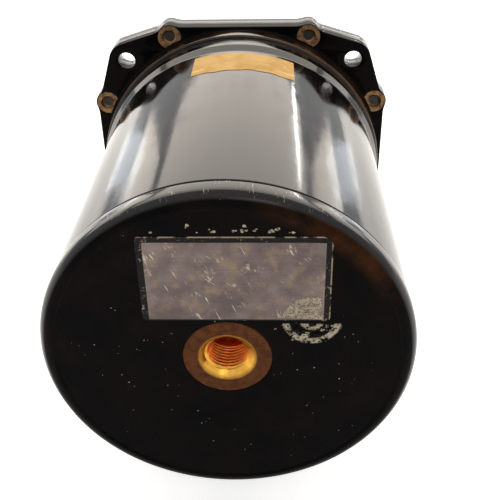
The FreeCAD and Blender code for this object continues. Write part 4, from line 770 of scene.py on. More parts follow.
PLAIN = {
    Slot.INSERT: Tones((0.27, 0.148, 0.068), (0.1, 0.056, 0.027), Noise(1.1, 0.45, 0.62),
                       Noise(0.25, 0.4, 0.6, 3.0), 0.015, (0.34, 0.5), 0.8),
    Slot.BEZEL: Tones((0.016, 0.016, 0.017), (0.06, 0.058, 0.055), Noise(2.5, 0.6, 0.66, 8.0), Noise(0.4),
                      0.02, (0.1, 0.18), strength=0.4),
    Slot.SCREW: Tones((0.42, 0.42, 0.43), (0.2, 0.17, 0.14), Noise(1.0, 0.5, 0.66, 4.0), Noise(0.18),
                      0.01, (0.24, 0.4), 1.0),
    Slot.RUBBER: Tones((0.02, 0.02, 0.02), (0.06, 0.058, 0.055), Noise(1.6, 0.45, 0.68),
                       Noise(0.3, shift=3.0), 0.02, (0.55, 0.75), cloudy=True),
    Slot.DIAL: Tones((0.008, 0.008, 0.009), (0.018, 0.017, 0.016), Noise(12.0, 0.4, 0.7, 5.0), Noise(0.25),
                     0.004, (0.6, 0.75), strength=0.25, specular=0.2),
    Slot.MOVEMENT: Tones((0.8, 0.6, 0.3), (0.66, 0.45, 0.19), Noise(2.5, 0.4, 0.7, 6.0), Noise(0.22),
                         0.006, (0.18, 0.32), 1.0),
    Slot.ARBOR: Tones((0.6, 0.6, 0.62), (0.42, 0.42, 0.45), Noise(1.2, 0.4, 0.7, 5.0),
                      Noise(0.15, stretch=(1.0, 0.1, 1.0)), 0.005, (0.14, 0.28), 1.0),
    Slot.CAPSULE: Tones((0.72, 0.44, 0.25), (0.48, 0.24, 0.14), Noise(4.0, 0.45, 0.65, 7.0),
                        Noise(0.3, stretch=(1.0, 1.0, 4.0)), 0.01, (0.2, 0.34), 1.0),
    Slot.PLATE: Tones((0.74, 0.74, 0.75), (0.6, 0.6, 0.62), Noise(4.0, 0.4, 0.7, 8.0),
                      Noise(0.3, stretch=(0.04, 1.0, 1.0)), 0.01, (0.26, 0.42), 1.0),
    Slot.KNOB: Tones((0.016, 0.016, 0.016), (0.035, 0.033, 0.03), Noise(3.0, 0.4, 0.66),
                     Noise(0.3, shift=5.0), 0.02, (0.34, 0.55), strength=0.4, cloudy=True),
    Look.CREAM: Tones((0.74, 0.66, 0.5), (0.4, 0.31, 0.2), Noise(0.8, 0.4, 0.65), Noise(0.8, 0.4, 0.65),
                      0.03, (0.5, 0.75), strength=0.6),
    Look.MARKS: Tones((0.82, 0.81, 0.76), (0.7, 0.66, 0.54), Noise(2.0, 0.4, 0.7), Noise(0.15, shift=4.0),
                      0.008, (0.5, 0.62), cloudy=True),
    Look.DARK_SCREW: Tones((0.03, 0.028, 0.027), (0.055, 0.036, 0.024), Noise(0.8, 0.45, 0.66, 4.0),
                           Noise(0.18), 0.01, (0.36, 0.5), 0.7),
}
SPECIAL = {
    Slot.CASE: CaseBlack,
    Slot.PORT: PortBrass,
    Slot.FOIL: PlateFoil,
    Slot.TAPE: TapeYellow,
    Slot.GLASS: CoverGlass,
    Slot.POINTER: PointerPaint,
    Look.PLACARD: PlacardBlack,
    Look.STAMP: StampResidue,
}


class Plain(Finish):
    """A finish by its row in the table of plain ones."""

    def paint(self) -> None:
        """Lay out the nodes."""
        tones = PLAIN[self.look]
        cloud, grain = self.cloud(tones.cloud), self.cloud(tones.grain)
        self.relief(grain, tones.depth, tones.strength)
        self.give(
            Base_Color=self.blend(tones.under, tones.over, cloud),
            Metallic=tones.metal,
            Roughness=self.zone(cloud if tones.cloudy else grain, out=tones.rough),
            Specular_IOR_Level=tones.specular,
        )


class Workshop:
    """Hands out finishes and places finished pieces on their bodies."""

    def __init__(self) -> None:
        """Start with no finish made and no piece placed."""
        self.made: dict[str, bpy.types.Material] = {}
        self.placed: list[str] = []

    def _coat(self, item: bpy.types.Object, name: str, look: Union[Slot, Look]) -> None:
        """Give an object its finish, which is made when first asked for.

        Args:
            item: The object.
            name: Its name in the report.
            look: Its finish.
        """
        if look not in self.made:
            self.made[look] = SPECIAL.get(look, Plain)(look).material
        item.data.materials.clear()
        item.data.materials.append(self.made[look])
        self.placed.append(name)

    def place(
        self,
        piece: bpy.types.Object,
        slot: Slot,
        *nodes: str,
        body: Body = Body.CASE,
        look: Optional[Look] = None,
    ) -> None:
        """Dress a piece and let it ride on its body.

        Args:
            piece: The piece, in place.
            slot: Its material slot in the record.
            nodes: The CAD nodes it stands for.
            body: The body it moves with.
            look: Its finish, where that isn't the slot's own.
        """
        self._coat(piece, piece.name, look or slot)
        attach(piece, body.value)
        if nodes:
            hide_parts(*nodes)

    def dress(self, look: Union[Slot, Look], *nodes: str) -> None:
        """Give CAD nodes their finish."""
        for node in nodes:
            self._coat(frame["nodes"][node], node, look)


@dataclass(frozen=True)
class Flange:
    """Sizes of the square flange that the case and the bezel share, in mm."""

    hole: float = 31.43
    half: float = 40.7987
    flat: float = 17.8987
    ear: float = 4.9
    lobe: float = 3.4
    insert_near: float = 18.9987
    insert_far: float = 37.9987
    idler: Place = (-23.3338, -23.3338)

    def holes(self) -> list[Place]:
        """Centres of the three panel holes."""
        return [(self.hole, self.hole), (-self.hole, self.hole), (self.hole, -self.hole)]

    def inserts(self) -> list[Place]:
        """Centres of the eight inserts."""
        pairs = [(a * self.insert_near, b * self.insert_far) for a in (-1, 1) for b in (-1, 1)]
        return pairs + [(x, z) for z, x in pairs]

    def outline(self, count: int = 720) -> list[Place]:
        """The outer edge as seen from the axis, with its inner corners filled a little.

        Args:
            count: Number of points.

        Returns:
            The points in order round the axis.
        """
        out, up = self.flat - self.hole, self.half - self.hole
        tip = math.atan2(up, out) - math.acos(self.ear / math.hypot(out, up))
        touch = (self.hole + self.ear * math.cos(tip), self.hole + self.ear * math.sin(tip))
        corners = [(self.half, self.flat), (touch[1], touch[0]), touch, (self.flat, self.half)]
        for _ in range(3):
            corners += [(-z, x) for x, z in corners[-4:]]
        rounds = [(p, self.ear) for p in self.holes() + [(-self.hole, -self.hole)]]
        rounds += [(p, self.lobe) for p in self.inserts()]
        reach = [self._reach(360.0 * i / count, corners, rounds) for i in range(count)]
        near = range(-3, 4)
        means = [sum(reach[(i + k) % count] for k in near) / len(near) for i in range(count)]
        return [polar(max(reach[i], means[i]), 360.0 * i / count) for i in range(count)]

    @staticmethod
    def _reach(angle: float, corners: Sequence[Place], rounds: Sequence[tuple[Place, float]]) -> float:
        """How far the outline lies along a ray from the axis.

        Args:
            angle: Direction of the ray in degrees.
            corners: Corners of the straight edges.
            rounds: Centres and radii of the round lobes.

        Returns:
            The distance in mm.
        """
        dx, dz = polar(1.0, angle)
        best = 0.0
        for i, (x1, z1) in enumerate(corners):
            x2, z2 = corners[(i + 1) % len(corners)]
            ex, ez = x2 - x1, z2 - z1
            cross = dx * ez - dz * ex
            if abs(cross) > SMALL:
                along, share = (x1 * ez - z1 * ex) / cross, (x1 * dz - z1 * dx) / cross
                if along > 0.0 and -SMALL <= share <= 1.0 + SMALL:
                    best = max(best, along)
        for (x, z), radius in rounds:
            ahead, aside = x * dx + z * dz, abs(x * dz - z * dx)
            if ahead > 0.0 and aside < radius:
                best = max(best, ahead + math.sqrt(radius * radius - aside * aside))
        return best


@dataclass(frozen=True)
class Assembly:
    """A part of the altimeter, whose pieces a workshop dresses and places."""

    shop: Workshop


@dataclass(frozen=True)
class CaseMoulding(Assembly):
    """The black moulded case with its barrel, flange, gear pocket and ribs, in mm."""

    flange: Flange
    foot: float = 40.6487
    collar: float = 39.8987
    collar_end: float = 11.0
    groove: float = 38.8987
    groove_end: float = 11.7
    band: float = 39.1987
    band_end: float = 15.9
    body_front: float = 38.2987
    body_start: float = 18.3
    body_rear: float = 39.2987
    body_end: float = 88.7
    waist: float = 38.7987
    rim_start: float = 89.4
    rim: float = 39.5987
    rim_round: float = 2.95
    lip: float = 36.4987
    length: float = 95.0
    bore_front: float = 35.8987
    bore_rear: float = 36.2987
    inner_end: float = 91.6
    boss: float = 11.0
    boss_start: float = 81.6
    orifice: float = 1.5
    pocket: float = 7.05
    pocket_start: float = 6.4
    pocket_end: float = 11.2
    pocket_floor: float = 1.6
    knob_pocket: float = 5.65
    idler_pocket: float = 5.35
    plate_bevel: float = 0.045
    rib_near: float = 0.9
    rib_far: float = 2.6
    rib_angles: tuple[float, ...] = (75.0, 195.0, 315.0)

    def body_radius(self, y: float) -> float:
        """Outer radius of the drafted barrel at a place along the case."""
        share = (y - self.body_start) / (self.body_end - self.body_start)
        return self.body_front + share * (self.body_rear - self.body_front)

    def _turned(self) -> Shape:
        """The turned form: front tube, collar, band, barrel, rim, rear wall and port boss.

        Returns:
            The shape.
        """
        seat = BACK - RING_DEPTH
        profile = [
            (self.bore_front, PLATE_FRONT), (self.foot, PLATE_FRONT), (self.foot, PLATE_REAR),
            (self.collar, PLATE_REAR + 0.001), (self.collar, self.collar_end), (self.groove, self.collar_end),
            (self.groove, self.groove_end), (self.band, self.groove_end), (self.band, self.band_end),
            (self.body_front, self.body_start), (self.body_rear, self.body_end), (self.waist, self.body_end),
            (self.waist, self.rim_start), (self.rim, self.rim_start), (self.rim, self.length),
            (self.lip, self.length), (self.lip - 0.4, BACK), (RING, BACK), (RING, seat), (PORT_BODY, seat),
            (PORT_BODY, PORT_START), (self.orifice, PORT_START), (self.orifice, self.boss_start),
            (self.boss, self.boss_start), (self.boss, self.inner_end), (self.bore_rear, self.inner_end),
        ]
        radii = {3: 0.7, 4: 0.6, 5: 0.2, 6: 0.2, 7: 0.35, 8: 1.2, 9: 2.0, 10: 0.25, 13: 0.5}
        radii.update({14: self.rim_round, 15: 0.25, 16: 0.2, 17: 0.15, 24: 1.0, 25: 1.0})
        return Shape().lathe(rounded(profile, radii, 6), segments=240)

    def dress(self) -> None:
        """Build and place the case."""
        f = self.flange
        shape = self._turned()
        holes = [circle(HOLE, c, 40) for c in f.holes()] + [circle(INSERT, c, 40) for c in f.inserts()]
        holes.append(circle(self.collar - 0.3, count=180))
        plate = Shape().plate(f.outline(), PLATE_FRONT, PLATE_REAR, holes, self.plate_bevel)
        end = self.pocket_end + self.pocket_floor
        boss = Shape().lathe(rounded(oblong(0.0, self.pocket, self.pocket_start, end), {2: 0.6}), KNOB, 64)
        for part in (shape, plate, boss):
            for radius, centre in ((self.knob_pocket, KNOB), (self.idler_pocket, f.idler)):
                part.cut(Shape().lathe(oblong(0.0, radius, 1.0, self.pocket_end), centre, 64))
        boss.cut(Shape().lathe(oblong(0.0, self.bore_front + 0.05, 1.0, 20.0)))
        ribs = Shape()
        for angle in self.rib_angles:
            bar = oblong(self.rib_near, self.rib_far, end, self.inner_end + 1.5)
            ribs.lathe(bar, polar(self.bore_front - 1.5, angle), 24)
        shape.add(plate, boss, ribs)
        self.shop.place(shape.finish("case_moulding"), Slot.CASE, "case_shell")


@dataclass(frozen=True)
class PipePort(Assembly):
    """The brass port with its tapered thread, in mm."""

    bore: float = 4.35
    mouth: float = 5.8
    mouth_depth: float = 1.4
    end_wall: float = 1.2
    orifice: float = 0.75
    pitch: float = 0.9407
    depth: float = 0.62
    run_out: float = 1.2
    root: float = 0.12
    flank: float = 0.76
    rows_per_turn: int = 12

    def dress(self) -> None:
        """Build and place the port."""
        floor, top, seat = PORT_START + self.end_wall, BACK - self.mouth_depth, BACK - RING_DEPTH
        outside = [
            (self.orifice, floor), (self.orifice, PORT_START), (PORT_BODY, PORT_START), (PORT_BODY, seat),
            (RING, seat), (RING, BACK - 0.25), (RING - 0.25, BACK), (self.mouth + 0.15, BACK),
            (self.mouth, BACK - 0.15),
        ]
        rows = int((top - floor) / self.pitch * self.rows_per_turn)
        bore = [(self.bore, top - (top - floor) * i / rows) for i in range(rows + 1)]
        piece = Shape().lathe(outside + bore, relief=self._thread).finish("pipe_port", 38.0)
        self.shop.place(piece, Slot.PORT, "static_port")

    def _thread(self, radius: float, y: float, angle: float) -> float:
        """Depth of the thread at a place on the bore.

        Args:
            radius: Radius of the profile.
            y: Place along the port.
            angle: Angle round it in degrees.

        Returns:
            The change of the radius in mm.
        """
        if abs(radius - self.bore) > SMALL:
            return 0.0
        phase = ((BACK - y) / self.pitch + angle / 360.0) % 1.0
        ridge = 1.0 - abs(2.0 * phase - 1.0)
        depth = self.depth * min(1.0, max(0.0, (y - PORT_START - self.end_wall) / self.run_out))
        return depth * min(1.0, max(0.0, (ridge - self.root) / self.flank))


@dataclass(frozen=True)
class Inserts(Assembly):
    """The eight threaded brass inserts of the flange, in mm."""

    flange: Flange
    bore: float = 1.3
    mouth: float = 1.8

    def dress(self) -> None:
        """Build and place the inserts."""
        profile = [
            (self.bore, PLATE_FRONT), (INSERT, PLATE_FRONT), (INSERT, PLATE_REAR - 0.2),
            (INSERT - 0.2, PLATE_REAR), (self.mouth + 0.25, PLATE_REAR), (self.mouth, PLATE_REAR - 0.3),
            (self.mouth, PLATE_REAR - 0.9), (self.bore, PLATE_REAR - 1.1),
        ]
        shape = Shape()
        for centre in self.flange.inserts():
            shape.lathe(profile, centre, 40)
        self.shop.place(shape.finish("threaded_inserts"), Slot.INSERT, "bezel_inserts")


@dataclass(frozen=True)
class Placard(Assembly):
    """The foil placard on the rear face, bare, with its black border, in mm."""

    left: float = -21.0
    right: float = 16.8
    low: float = 10.1
    high: float = 30.3
    border: float = 1.3
    low_border: float = 0.35
    base: float = 0.1
    foil: float = 0.05
    corner_reach: float = 3.2
    corner_lift: float = 0.14

    def dress(self) -> None:
        """Build and place the black backing sheet and the foil."""
        corners = oblong(self.left, self.right, self.low, self.high)
        outline = rounded(corners, {0: 0.9, 1: 0.9, 2: 0.9, 3: 2.2})
        piece = Shape().plate(outline, BACK, BACK + self.base).finish("placard_border")
        self.shop.place(piece, Slot.FOIL, "data_plate", look=Look.PLACARD)
        self.shop.place(self._foil(), Slot.FOIL)

    def _foil(self, columns: int = 60, rows: int = 34) -> bpy.types.Object:
        """Build the foil sheet with its waves and its lifted corner.

        Args:
            columns: Steps from left to right.
            rows: Steps from low to high.

        Returns:
            The foil.
        """
        chance = random.Random(7)
        left, right = self.left + self.border, self.right - self.border
        low, high = self.low + self.low_border, self.high - self.border
        ranges = ((0.2, 0.7), (0.2, 0.9), (0.0, 6.0))
        waves = [tuple(chance.uniform(*span) for span in ranges) for _ in range(5)]

        def point(x: float, z: float) -> Vector:
            """The point of the foil over a place on the backing sheet.

            Args:
                x: Place from left to right.
                z: Place from low to high.

            Returns:
                The point.
            """
            lift = 0.015 + 0.01 * sum(math.sin(a * x + b * z + c) for a, b, c in waves) / len(waves)
            lift += self.corner_lift * max(0.0, 1.0 - math.hypot(x - left, z - high) / self.corner_reach)
            return Vector((x, BACK + self.base + lift, z))

        across = [left + (right - left) * j / columns for j in range(columns + 1)]
        grid = [[point(x, low + (high - low) * i / rows) for x in across] for i in range(rows + 1)]
        return Shape().sheet(grid, lambda p: p + Vector((0.0, self.foil, 0.0))).finish("placard_foil")


@dataclass(frozen=True)
class Traces(Assembly):
    """Marks of age on the rear face: a worn stamp and flakes of cream paint, in mm."""

    stamp_radius: float = 6.3
    placard_edge: float = 10.1
    foil_edge: float = 10.5
    foil_side: float = -19.7
    over_foil: float = 0.2
    film: float = 0.02
    flake: float = 0.04
    near: float = 10.5
    far: float = 35.0

    def dress(self) -> None:
        """Build and place the flakes and the thin film that carries the stamp."""
        self.shop.place(self._flakes(), Slot.CASE, look=Look.CREAM)
        whole = circle(self.stamp_radius, STAMP)
        low = [p for p in whole if p[1] < self.placard_edge]
        high = [p for p in whole if p[1] > self.foil_edge and p[0] > self.foil_side]
        shape = Shape().plate(low, BACK + 0.01, BACK + 0.01 + self.film)
        level = BACK + self.over_foil
        shape.plate(high + [(self.foil_side, self.foil_edge)], level, level + self.film)
        self.shop.place(shape.finish("stamp_film"), Slot.CASE, look=Look.STAMP)

    def _flakes(self) -> bpy.types.Object:
        """Build the scattered flakes.

        Returns:
            The flakes.
        """
        chance = random.Random(11)
        spots = [(chance.uniform(-20.0, 15.0), 31.2 + abs(chance.gauss(0.0, 0.7)), 0.5) for _ in range(34)]
        spots += [(chance.gauss(-17.0, 4.0), chance.gauss(9.0, 3.5), 0.35) for _ in range(20)]
        spots += [(chance.uniform(-28.0, 28.0), chance.uniform(-30.0, 8.0), 0.16) for _ in range(60)]
        shape = Shape()
        for x, z, size in spots:
            if not self.near <= math.hypot(x, z) <= self.far:
                continue
            count = chance.randint(5, 8)
            reach = size * chance.uniform(0.3, 1.0)
            outline = []
            for i in range(count):
                dx, dz = polar(reach * chance.uniform(0.5, 1.0), 360.0 * i / count)
                outline.append((x + dx * chance.uniform(1.0, 1.7), z + dz))
            shape.plate(outline, BACK, BACK + self.flake)
        return shape.finish("paint_flakes")


@dataclass(frozen=True)
class TapeStrip(Assembly):
    """The yellow tape on top of the barrel, torn along its rear edge, in mm."""

    case: CaseMoulding
    start: float = 20.0
    width: float = 12.05
    from_angle: float = 73.5
    to_angle: float = 112.5
    thickness: float = 0.09
    clearance: float = 0.005
    edge_lift: float = 0.004
    tears: tuple[Triple, ...] = ((0.4, 8.0, 0.0), (0.16, 29.0, 1.0), (0.08, 83.0, 0.0))
    columns: int = 72
    rows: int = 20

    def _point(self, i: int, j: int) -> Vector:
        """A point of the strip's inner side.

        Args:
            i: Row along the case.
            j: Column round it.

        Returns:
            The point.
        """
        share = j / self.columns
        torn = sum(reach * math.sin(share * rate + shift) for reach, rate, shift in self.tears)
        y = self.start + (self.width + torn) * i / self.rows
        inside = 0 < i < self.rows and 0 < j < self.columns
        radius = self.case.body_radius(y) + self.clearance + (0.0 if inside else self.edge_lift)
        x, z = polar(radius, self.from_angle + (self.to_angle - self.from_angle) * share)
        return Vector((x, y, z))

    def dress(self) -> None:
        """Build and place the strip."""
        grid = [[self._point(i, j) for j in range(self.columns + 1)] for i in range(self.rows + 1)]
        shape = Shape().sheet(grid, lambda p: p + Vector((p.x, 0.0, p.z)).normalized() * self.thickness)
        self.shop.place(shape.finish("tape_strip"), Slot.TAPE, "case_tape")


@dataclass(frozen=True)
class BezelFront(Assembly):
    """The bezel plate and ring, the cover glass and its seals, in mm."""

    flange: Flange
    front: float = -3.3
    ring: float = 39.1987
    sight: float = 34.9987
    lip: float = 1.2
    glass: float = 37.8987
    glass_front: float = -1.5
    glass_rear: float = 2.1
    clearance: float = 0.3
    screw_hole: float = 1.45
    stem_hole: float = 2.9
    bevel: float = 0.25

    def _bezel(self) -> bpy.types.Object:
        """Build the plate and the ring.

        Returns:
            The bezel.
        """
        f = self.flange
        rebate = self.glass + self.clearance
        profile = [
            (self.sight + 0.9, self.front), (self.ring - 0.7, self.front), (self.ring, self.front + 0.7),
            (self.ring, PLATE_FRONT), (rebate, PLATE_FRONT), (rebate, self.front + self.lip),
            (self.sight, self.front + self.lip), (self.sight, self.front + 0.9),
        ]
        shape = Shape().lathe(rounded(profile, {0: 0.2, 1: 0.6, 2: 0.6, 6: 0.15, 7: 0.2}, 4), segments=200)
        holes = [circle(HOLE, c, 40) for c in f.holes()]
        holes += [circle(self.screw_hole, c, 24) for c in f.inserts()]
        holes += [circle(self.stem_hole, KNOB, 40), circle(self.ring - 0.4, count=180)]
        return shape.plate(f.outline(), 0.0, PLATE_FRONT, holes, self.bevel).finish("bezel_front")

    def dress(self) -> None:
        """Build and place the bezel and the glass, and dress the screws and seals."""
        self.shop.place(self._bezel(), Slot.BEZEL, "bezel")
        pane = rounded(oblong(0.0, self.glass, self.glass_front, self.glass_rear), {1: 0.3, 2: 0.3}, 3)
        self.shop.place(Shape().lathe(pane, segments=160).finish("cover_pane"), Slot.GLASS, "cover_glass")
        self.shop.dress(Look.DARK_SCREW, "bezel_screws")
        self.shop.dress(Slot.RUBBER, "glass_gasket", "glass_seal_ring")


@dataclass(frozen=True)
class DialFace(Assembly):
    """Plain numbers and ticks on the dial and on the barometric disc, in mm."""

    face: float = 7.0
    disc_face: float = 9.0
    radius: float = 34.9987
    ink: float = 0.03
    type_size: float = 6.4
    numbers: float = 25.6987
    disc_type_size: float = 2.3
    disc_numbers: float = 22.4
    disc_ticks: float = 25.8
    lowest: float = 28.1
    centred: float = 29.92
    degrees_per_inch: float = 90.0

    def _marks(self) -> bpy.types.Object:
        """Build the ticks and numbers of the dial.

        Returns:
            The marks.
        """
        shape = Shape()
        for i in range(50):
            length, width = (3.4, 0.4) if i % 5 else (5.6, 0.8)
            span = (self.radius - length, self.radius - 1.0)
            shape.tick(span, width, 90.0 - 7.2 * i, self.face, self.ink)
        for number in range(10):
            place = polar(self.numbers, 90.0 - 36.0 * number)
            shape.text(str(number), self.type_size, place, self.face, 0.0, self.ink)
        return shape.finish("dial_marks")

    def _scale(self) -> bpy.types.Object:
        """Build the numbers and ticks of the barometric disc, in inches of mercury.

        Returns:
            The scale.
        """
        shape = Shape()
        for step in range(30):
            angle = (self.lowest + 0.1 * step - self.centred) * self.degrees_per_inch
            words, place = f"{self.lowest + 0.1 * step:.1f}", polar(self.disc_numbers, angle)
            shape.text(words, self.disc_type_size, place, self.disc_face, angle, self.ink)
        for step in range(146):
            angle = (self.lowest + 0.02 * step - self.centred) * self.degrees_per_inch
            span = (self.disc_ticks - (0.8 if step % 5 else 1.2), self.disc_ticks)
            shape.tick(span, 0.18, angle, self.disc_face, self.ink)
        return shape.finish("baro_marks")

    def dress(self) -> None:
        """Dress the dial and the disc, and place their markings."""
        self.shop.dress(Slot.DIAL, "dial", "baro_disc")
        self.shop.dress(Slot.SCREW, "dial_screws")
        self.shop.place(self._marks(), Slot.DIAL, look=Look.MARKS)
        self.shop.place(self._scale(), Slot.DIAL, body=Body.BARO_DISC, look=Look.MARKS)


@dataclass(frozen=True)
class Pointer(Assembly):
    """One pointer, drawn pointing up and turned to its reading, in mm."""

    name: str
    node: str
    body: Body
    outline: tuple[Place, ...]
    level: float
    bore: float
    turns: float
    thickness: float = 0.4
    hub_wall: float = 1.9

    def dress(self) -> None:
        """Build and place the pointer."""
        rear, wall = self.level + self.thickness, self.bore + self.hub_wall
        shape = Shape().plate(self.outline, self.level, rear, bevel=0.07)
        shape.cut(Shape().lathe(oblong(0.0, wall - 0.2, 0.0, 8.0), segments=48))
        shape.lathe(rounded(oblong(self.bore, wall, self.level, rear), {1: 0.1, 2: 0.1}, 2), segments=48)
        piece = shape.finish(self.name)
        piece.rotation_euler.y = math.tau * (self.turns % 1.0)
        self.shop.place(piece, Slot.POINTER, self.node, body=self.body)


def pointers(shop: Workshop) -> list[Pointer]:
    """The three pointers at 1,680 ft.

    Args:
        shop: The workshop.

    Returns:
        The pointers, front one first.
    """
    long = ((-0.9, -9.0), (0.9, -9.0), (0.75, 0.0), (1.5, 22.2), (0.0, 30.0), (-1.5, 22.2), (-0.75, 0.0))
    broad = ((-1.5, -5.5), (1.5, -5.5), (1.05, 0.0), (3.0, 11.0), (0.0, 18.5), (-3.0, 11.0), (-1.05, 0.0))
    thin = ((-0.45, 0.0), (0.45, 0.0), (0.45, 27.4), (2.3, 32.0), (-2.3, 32.0), (-0.45, 27.4))
    return [
        Pointer(shop, "hundreds_pointer", "pointer_hundreds", Body.HUNDREDS, long, 3.7, 0.6, 1.68),
        Pointer(shop, "thousands_pointer", "pointer_thousands", Body.THOUSANDS, broad, 4.8, 1.15, 0.168),
        Pointer(shop, "ten_thousands_pointer", "pointer_ten_thousands", Body.TEN_THOUSANDS, thin, 5.9, 1.7,
                0.0168),
    ]


@dataclass(frozen=True)
class Knob(Assembly):
    """The fluted setting knob, in mm."""

    front: float = -13.6
    length: float = 9.0
    grip: float = 5.9
    skirt: float = 6.0
    skirt_length: float = 1.6
    stem: float = 1.5
    blind: float = 2.7
    flutes: int = 24
    flute_depth: float = 0.42

    def dress(self) -> None:
        """Build and place the knob, and dress what turns with it."""
        rear, blind = self.front + self.length, self.front + self.blind
        neck = rear - self.skirt_length
        profile = [
            (0.0, self.front + 0.35), (self.grip - 1.7, self.front + 0.35), (self.grip - 1.5, self.front),
            (self.grip, self.front), (self.grip, neck - 0.4), (self.grip - 0.6, neck), (self.skirt, neck),
            (self.skirt, rear), (self.stem, rear), (self.stem, blind), (0.0, blind),
        ]
        body = rounded(profile, {2: 0.1, 3: 0.8, 6: 0.3, 7: 0.2}, 4)
        dense: list[Place] = []
        for (r, y), (r_next, y_next) in zip(body, body[1:] + body[:1]):
            dense.append((r, y))
            if abs(r - r_next) < SMALL and abs(y_next - y) > 2.0 and r > 4.0:
                dense += [(r, y + (y_next - y) * k / 6) for k in range(1, 6)]
        piece = Shape().lathe(dense, KNOB, 192, self._flute).finish("setting_knob", 40.0, KNOB)
        self.shop.place(piece, Slot.KNOB, "knob", body=Body.KNOB)
        self.shop.dress(Slot.SCREW, "knob_set_screw")
        self.shop.dress(Slot.ARBOR, "knob_stem")
        self.shop.dress(Slot.RUBBER, "knob_seal")
        self.shop.dress(Slot.MOVEMENT, "knob_pinion", "knob_bush", "setting_idler")

    def _flute(self, radius: float, y: float, angle: float) -> float:
        """Depth of the flutes at a place on the grip.

        Args:
            radius: Radius of the profile.
            y: Place along the knob.
            angle: Angle round it in degrees.

        Returns:
            The change of the radius in mm.
        """
        neck = self.front + self.length - self.skirt_length
        if radius < self.grip - 1.3 or y > neck - 0.1:
            return 0.0
        wave = 0.5 - 0.5 * math.cos(math.radians(angle * self.flutes))
        return -self.flute_depth * wave * min(1.0, radius - self.grip + 1.3)


class Movement(Assembly):
    """The geared movement and the capsules, which keep their constructed shapes."""

    def dress(self) -> None:
        """Give every node that is still bare the finish of its slot."""
        slots = {part["node"]: part["material_slot"] for part in frame["record"]["subparts"]}
        for node, item in frame["nodes"].items():
            if node not in self.shop.placed and not item.hide_render:
                self.shop.dress(Slot(slots[node]), node)


def seen(tree: bpy.types.NodeTree) -> Socket:
    """1 where the camera, a reflection or a glass looks, 0 for other light.

    Args:
        tree: The node tree that takes the value.

    Returns:
        The output socket.
    """
    path = tree.nodes.new("ShaderNodeLightPath")
    found = path.outputs["Is Camera Ray"]
    for kind in ("Is Glossy Ray", "Is Transmission Ray"):
        larger = tree.nodes.new("ShaderNodeMath")
        larger.operation = "MAXIMUM"
        tree.links.new(found, larger.inputs[0])
        tree.links.new(path.outputs[kind], larger.inputs[1])
        found = larger.outputs[0]
    return found


class FloorPale(Finish):
    """Pale, faintly cloudy floor, lifted to white where it is seen."""

    def paint(self) -> None:
        """Lay out the nodes."""
        tone = self.blend((0.8, 0.8, 0.8), (0.83, 0.83, 0.83), self.noise(60.0, 0.2, 0.8))
        glow = self.times(seen(self.tree), 0.72)
        self.give(Base_Color=tone, Roughness=0.9, Emission_Color=(1.0, 1.0, 1.0), Emission_Strength=glow)


@dataclass(frozen=True)
class Lamp:
    """A soft rectangular lamp: its centre, a point that it faces, its two sides in metres and its light."""

    name: str
    place: Triple
    aim: Triple
    size: Place
    radiance: float
    tint: Triple

    def hang(self) -> None:
        """Make the lamp, unseen by the camera itself."""
        data = bpy.data.lights.new(self.name, "AREA")
        data.shape = "RECTANGLE"
        data.size, data.size_y = self.size
        data.energy = self.radiance * math.pi * self.size[0] * self.size[1]
        data.color = self.tint
        item = bpy.data.objects.new(self.name, data)
        item.location = self.place
        item.rotation_euler = (Vector(self.aim) - Vector(self.place)).to_track_quat("-Z", "Y").to_euler()
        item.visible_camera = False
        bpy.context.scene.collection.objects.link(item)


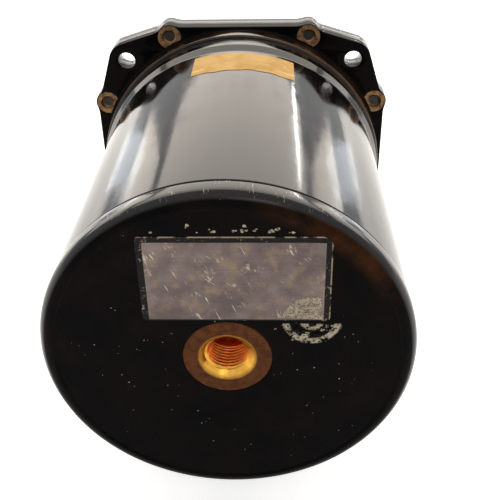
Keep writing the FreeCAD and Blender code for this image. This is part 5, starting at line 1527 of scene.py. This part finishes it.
@dataclass(frozen=True)
class Studio:
    """The floor, the lamps and the camera. Sizes in metres."""

    eye: Triple = (-0.010, 0.22129, 0.11313)
    target: Triple = (-0.00375, 0.05687, 0.00168)
    roll: float = -1.205
    lens: float = 58.01
    floor_level: float = -0.0414
    floor_half: float = 3.0
    hidden_strength: float = 0.25
    warm: Triple = (1.0, 0.9, 0.78)
    cool: Triple = (0.86, 0.93, 1.0)
    white: Triple = (1.0, 0.98, 0.95)
    fill: Triple = (1.0, 0.96, 0.9)

    def build(self) -> None:
        """Set up everything around the object."""
        self._floor()
        self._world()
        over, aside, aim = (0.0, -1.42, 0.0), (0.0, -1.45, 0.64), (0.0, 0.05, 0.0)
        lamps = [
            Lamp("top_softbox", (0.0, -1.42, 0.84), over, (1.92, 2.15), 2.9, self.warm),
            Lamp("edge_strip", (-0.81, -2.07, 0.82), (-0.81, -2.07, 0.0), (0.05, 0.85), 22.0, self.white),
        ]
        for side, x in (("left", 1.0), ("right", -1.0)):
            lamps += [
                Lamp(side + "_panel", (1.3 * x, -1.45, 0.64), aside, (2.1, 0.62), 3.5, self.warm),
                Lamp(side + "_window_a", (0.4 * x, -0.56, 0.07), aim, (0.08, 0.2), 2.2, self.cool),
                Lamp(side + "_window_b", (0.45 * x, -0.4, 0.05), aim, (0.07, 0.16), 1.8, self.cool),
            ]
        lamps.append(Lamp("rear_fill", (-0.25, 0.9, 0.9), (0.0, 0.06, 0.0), (0.5, 0.5), 1.6, self.fill))
        for lamp in lamps:
            lamp.hang()
        self._camera()
        bpy.context.scene.view_settings.view_transform = "Standard"

    def _floor(self) -> None:
        """Lay the pale floor."""
        shape = Shape()
        half, level = self.floor_half / MM, self.floor_level / MM
        corners = ((-half, -half), (half, -half), (half, half), (-half, half))
        shape.mesh.faces.new([shape.mesh.verts.new((x, y, level)) for x, y in corners])
        floor = shape.finish("floor")
        floor.data.materials.append(FloorPale(Look.FLOOR).material)

    def _world(self) -> None:
        """Light the surroundings: white where the camera or a reflection looks, softer for the rest."""
        world = bpy.data.worlds.new("studio")
        bpy.context.scene.world = world
        world.use_nodes = True
        tree = world.node_tree
        back = tree.nodes["Background"]
        back.inputs["Color"].default_value = (1.0, 1.0, 1.0, 1.0)
        reach = tree.nodes.new("ShaderNodeMapRange")
        reach.inputs["To Min"].default_value = self.hidden_strength
        tree.links.new(seen(tree), reach.inputs["Value"])
        tree.links.new(reach.outputs[0], back.inputs["Strength"])

    def _camera(self) -> None:
        """Put the camera where the photograph was taken."""
        data = bpy.data.cameras.new("camera")
        data.lens = self.lens
        data.sensor_width = 36.0
        data.clip_start = 0.01
        item = bpy.data.objects.new("camera", data)
        bpy.context.scene.collection.objects.link(item)
        ahead = (Vector(self.target) - Vector(self.eye)).normalized()
        right = ahead.cross(Vector((0.0, 0.0, 1.0))).normalized()
        level = Matrix((right, right.cross(ahead), -ahead)).transposed()
        turned = level @ Matrix.Rotation(math.radians(self.roll), 3, "Z")
        item.matrix_world = Matrix.Translation(self.eye) @ turned.to_4x4()
        bpy.context.scene.camera = item


def main() -> None:
    """Build, dress and light the altimeter, and report its pieces."""
    logging.basicConfig(level=logging.INFO, format="%(message)s")
    shop, flange = Workshop(), Flange()
    case = CaseMoulding(shop, flange)
    rear = [case, PipePort(shop), Inserts(shop, flange), Placard(shop), Traces(shop), TapeStrip(shop, case)]
    front = [BezelFront(shop, flange), DialFace(shop), *pointers(shop), Knob(shop), Movement(shop)]
    for assembly in rear + front:
        assembly.dress()
    for name in shop.placed:
        log.info("placed %s", name)
    Studio().build()


if __name__ == "__main__":
    main()
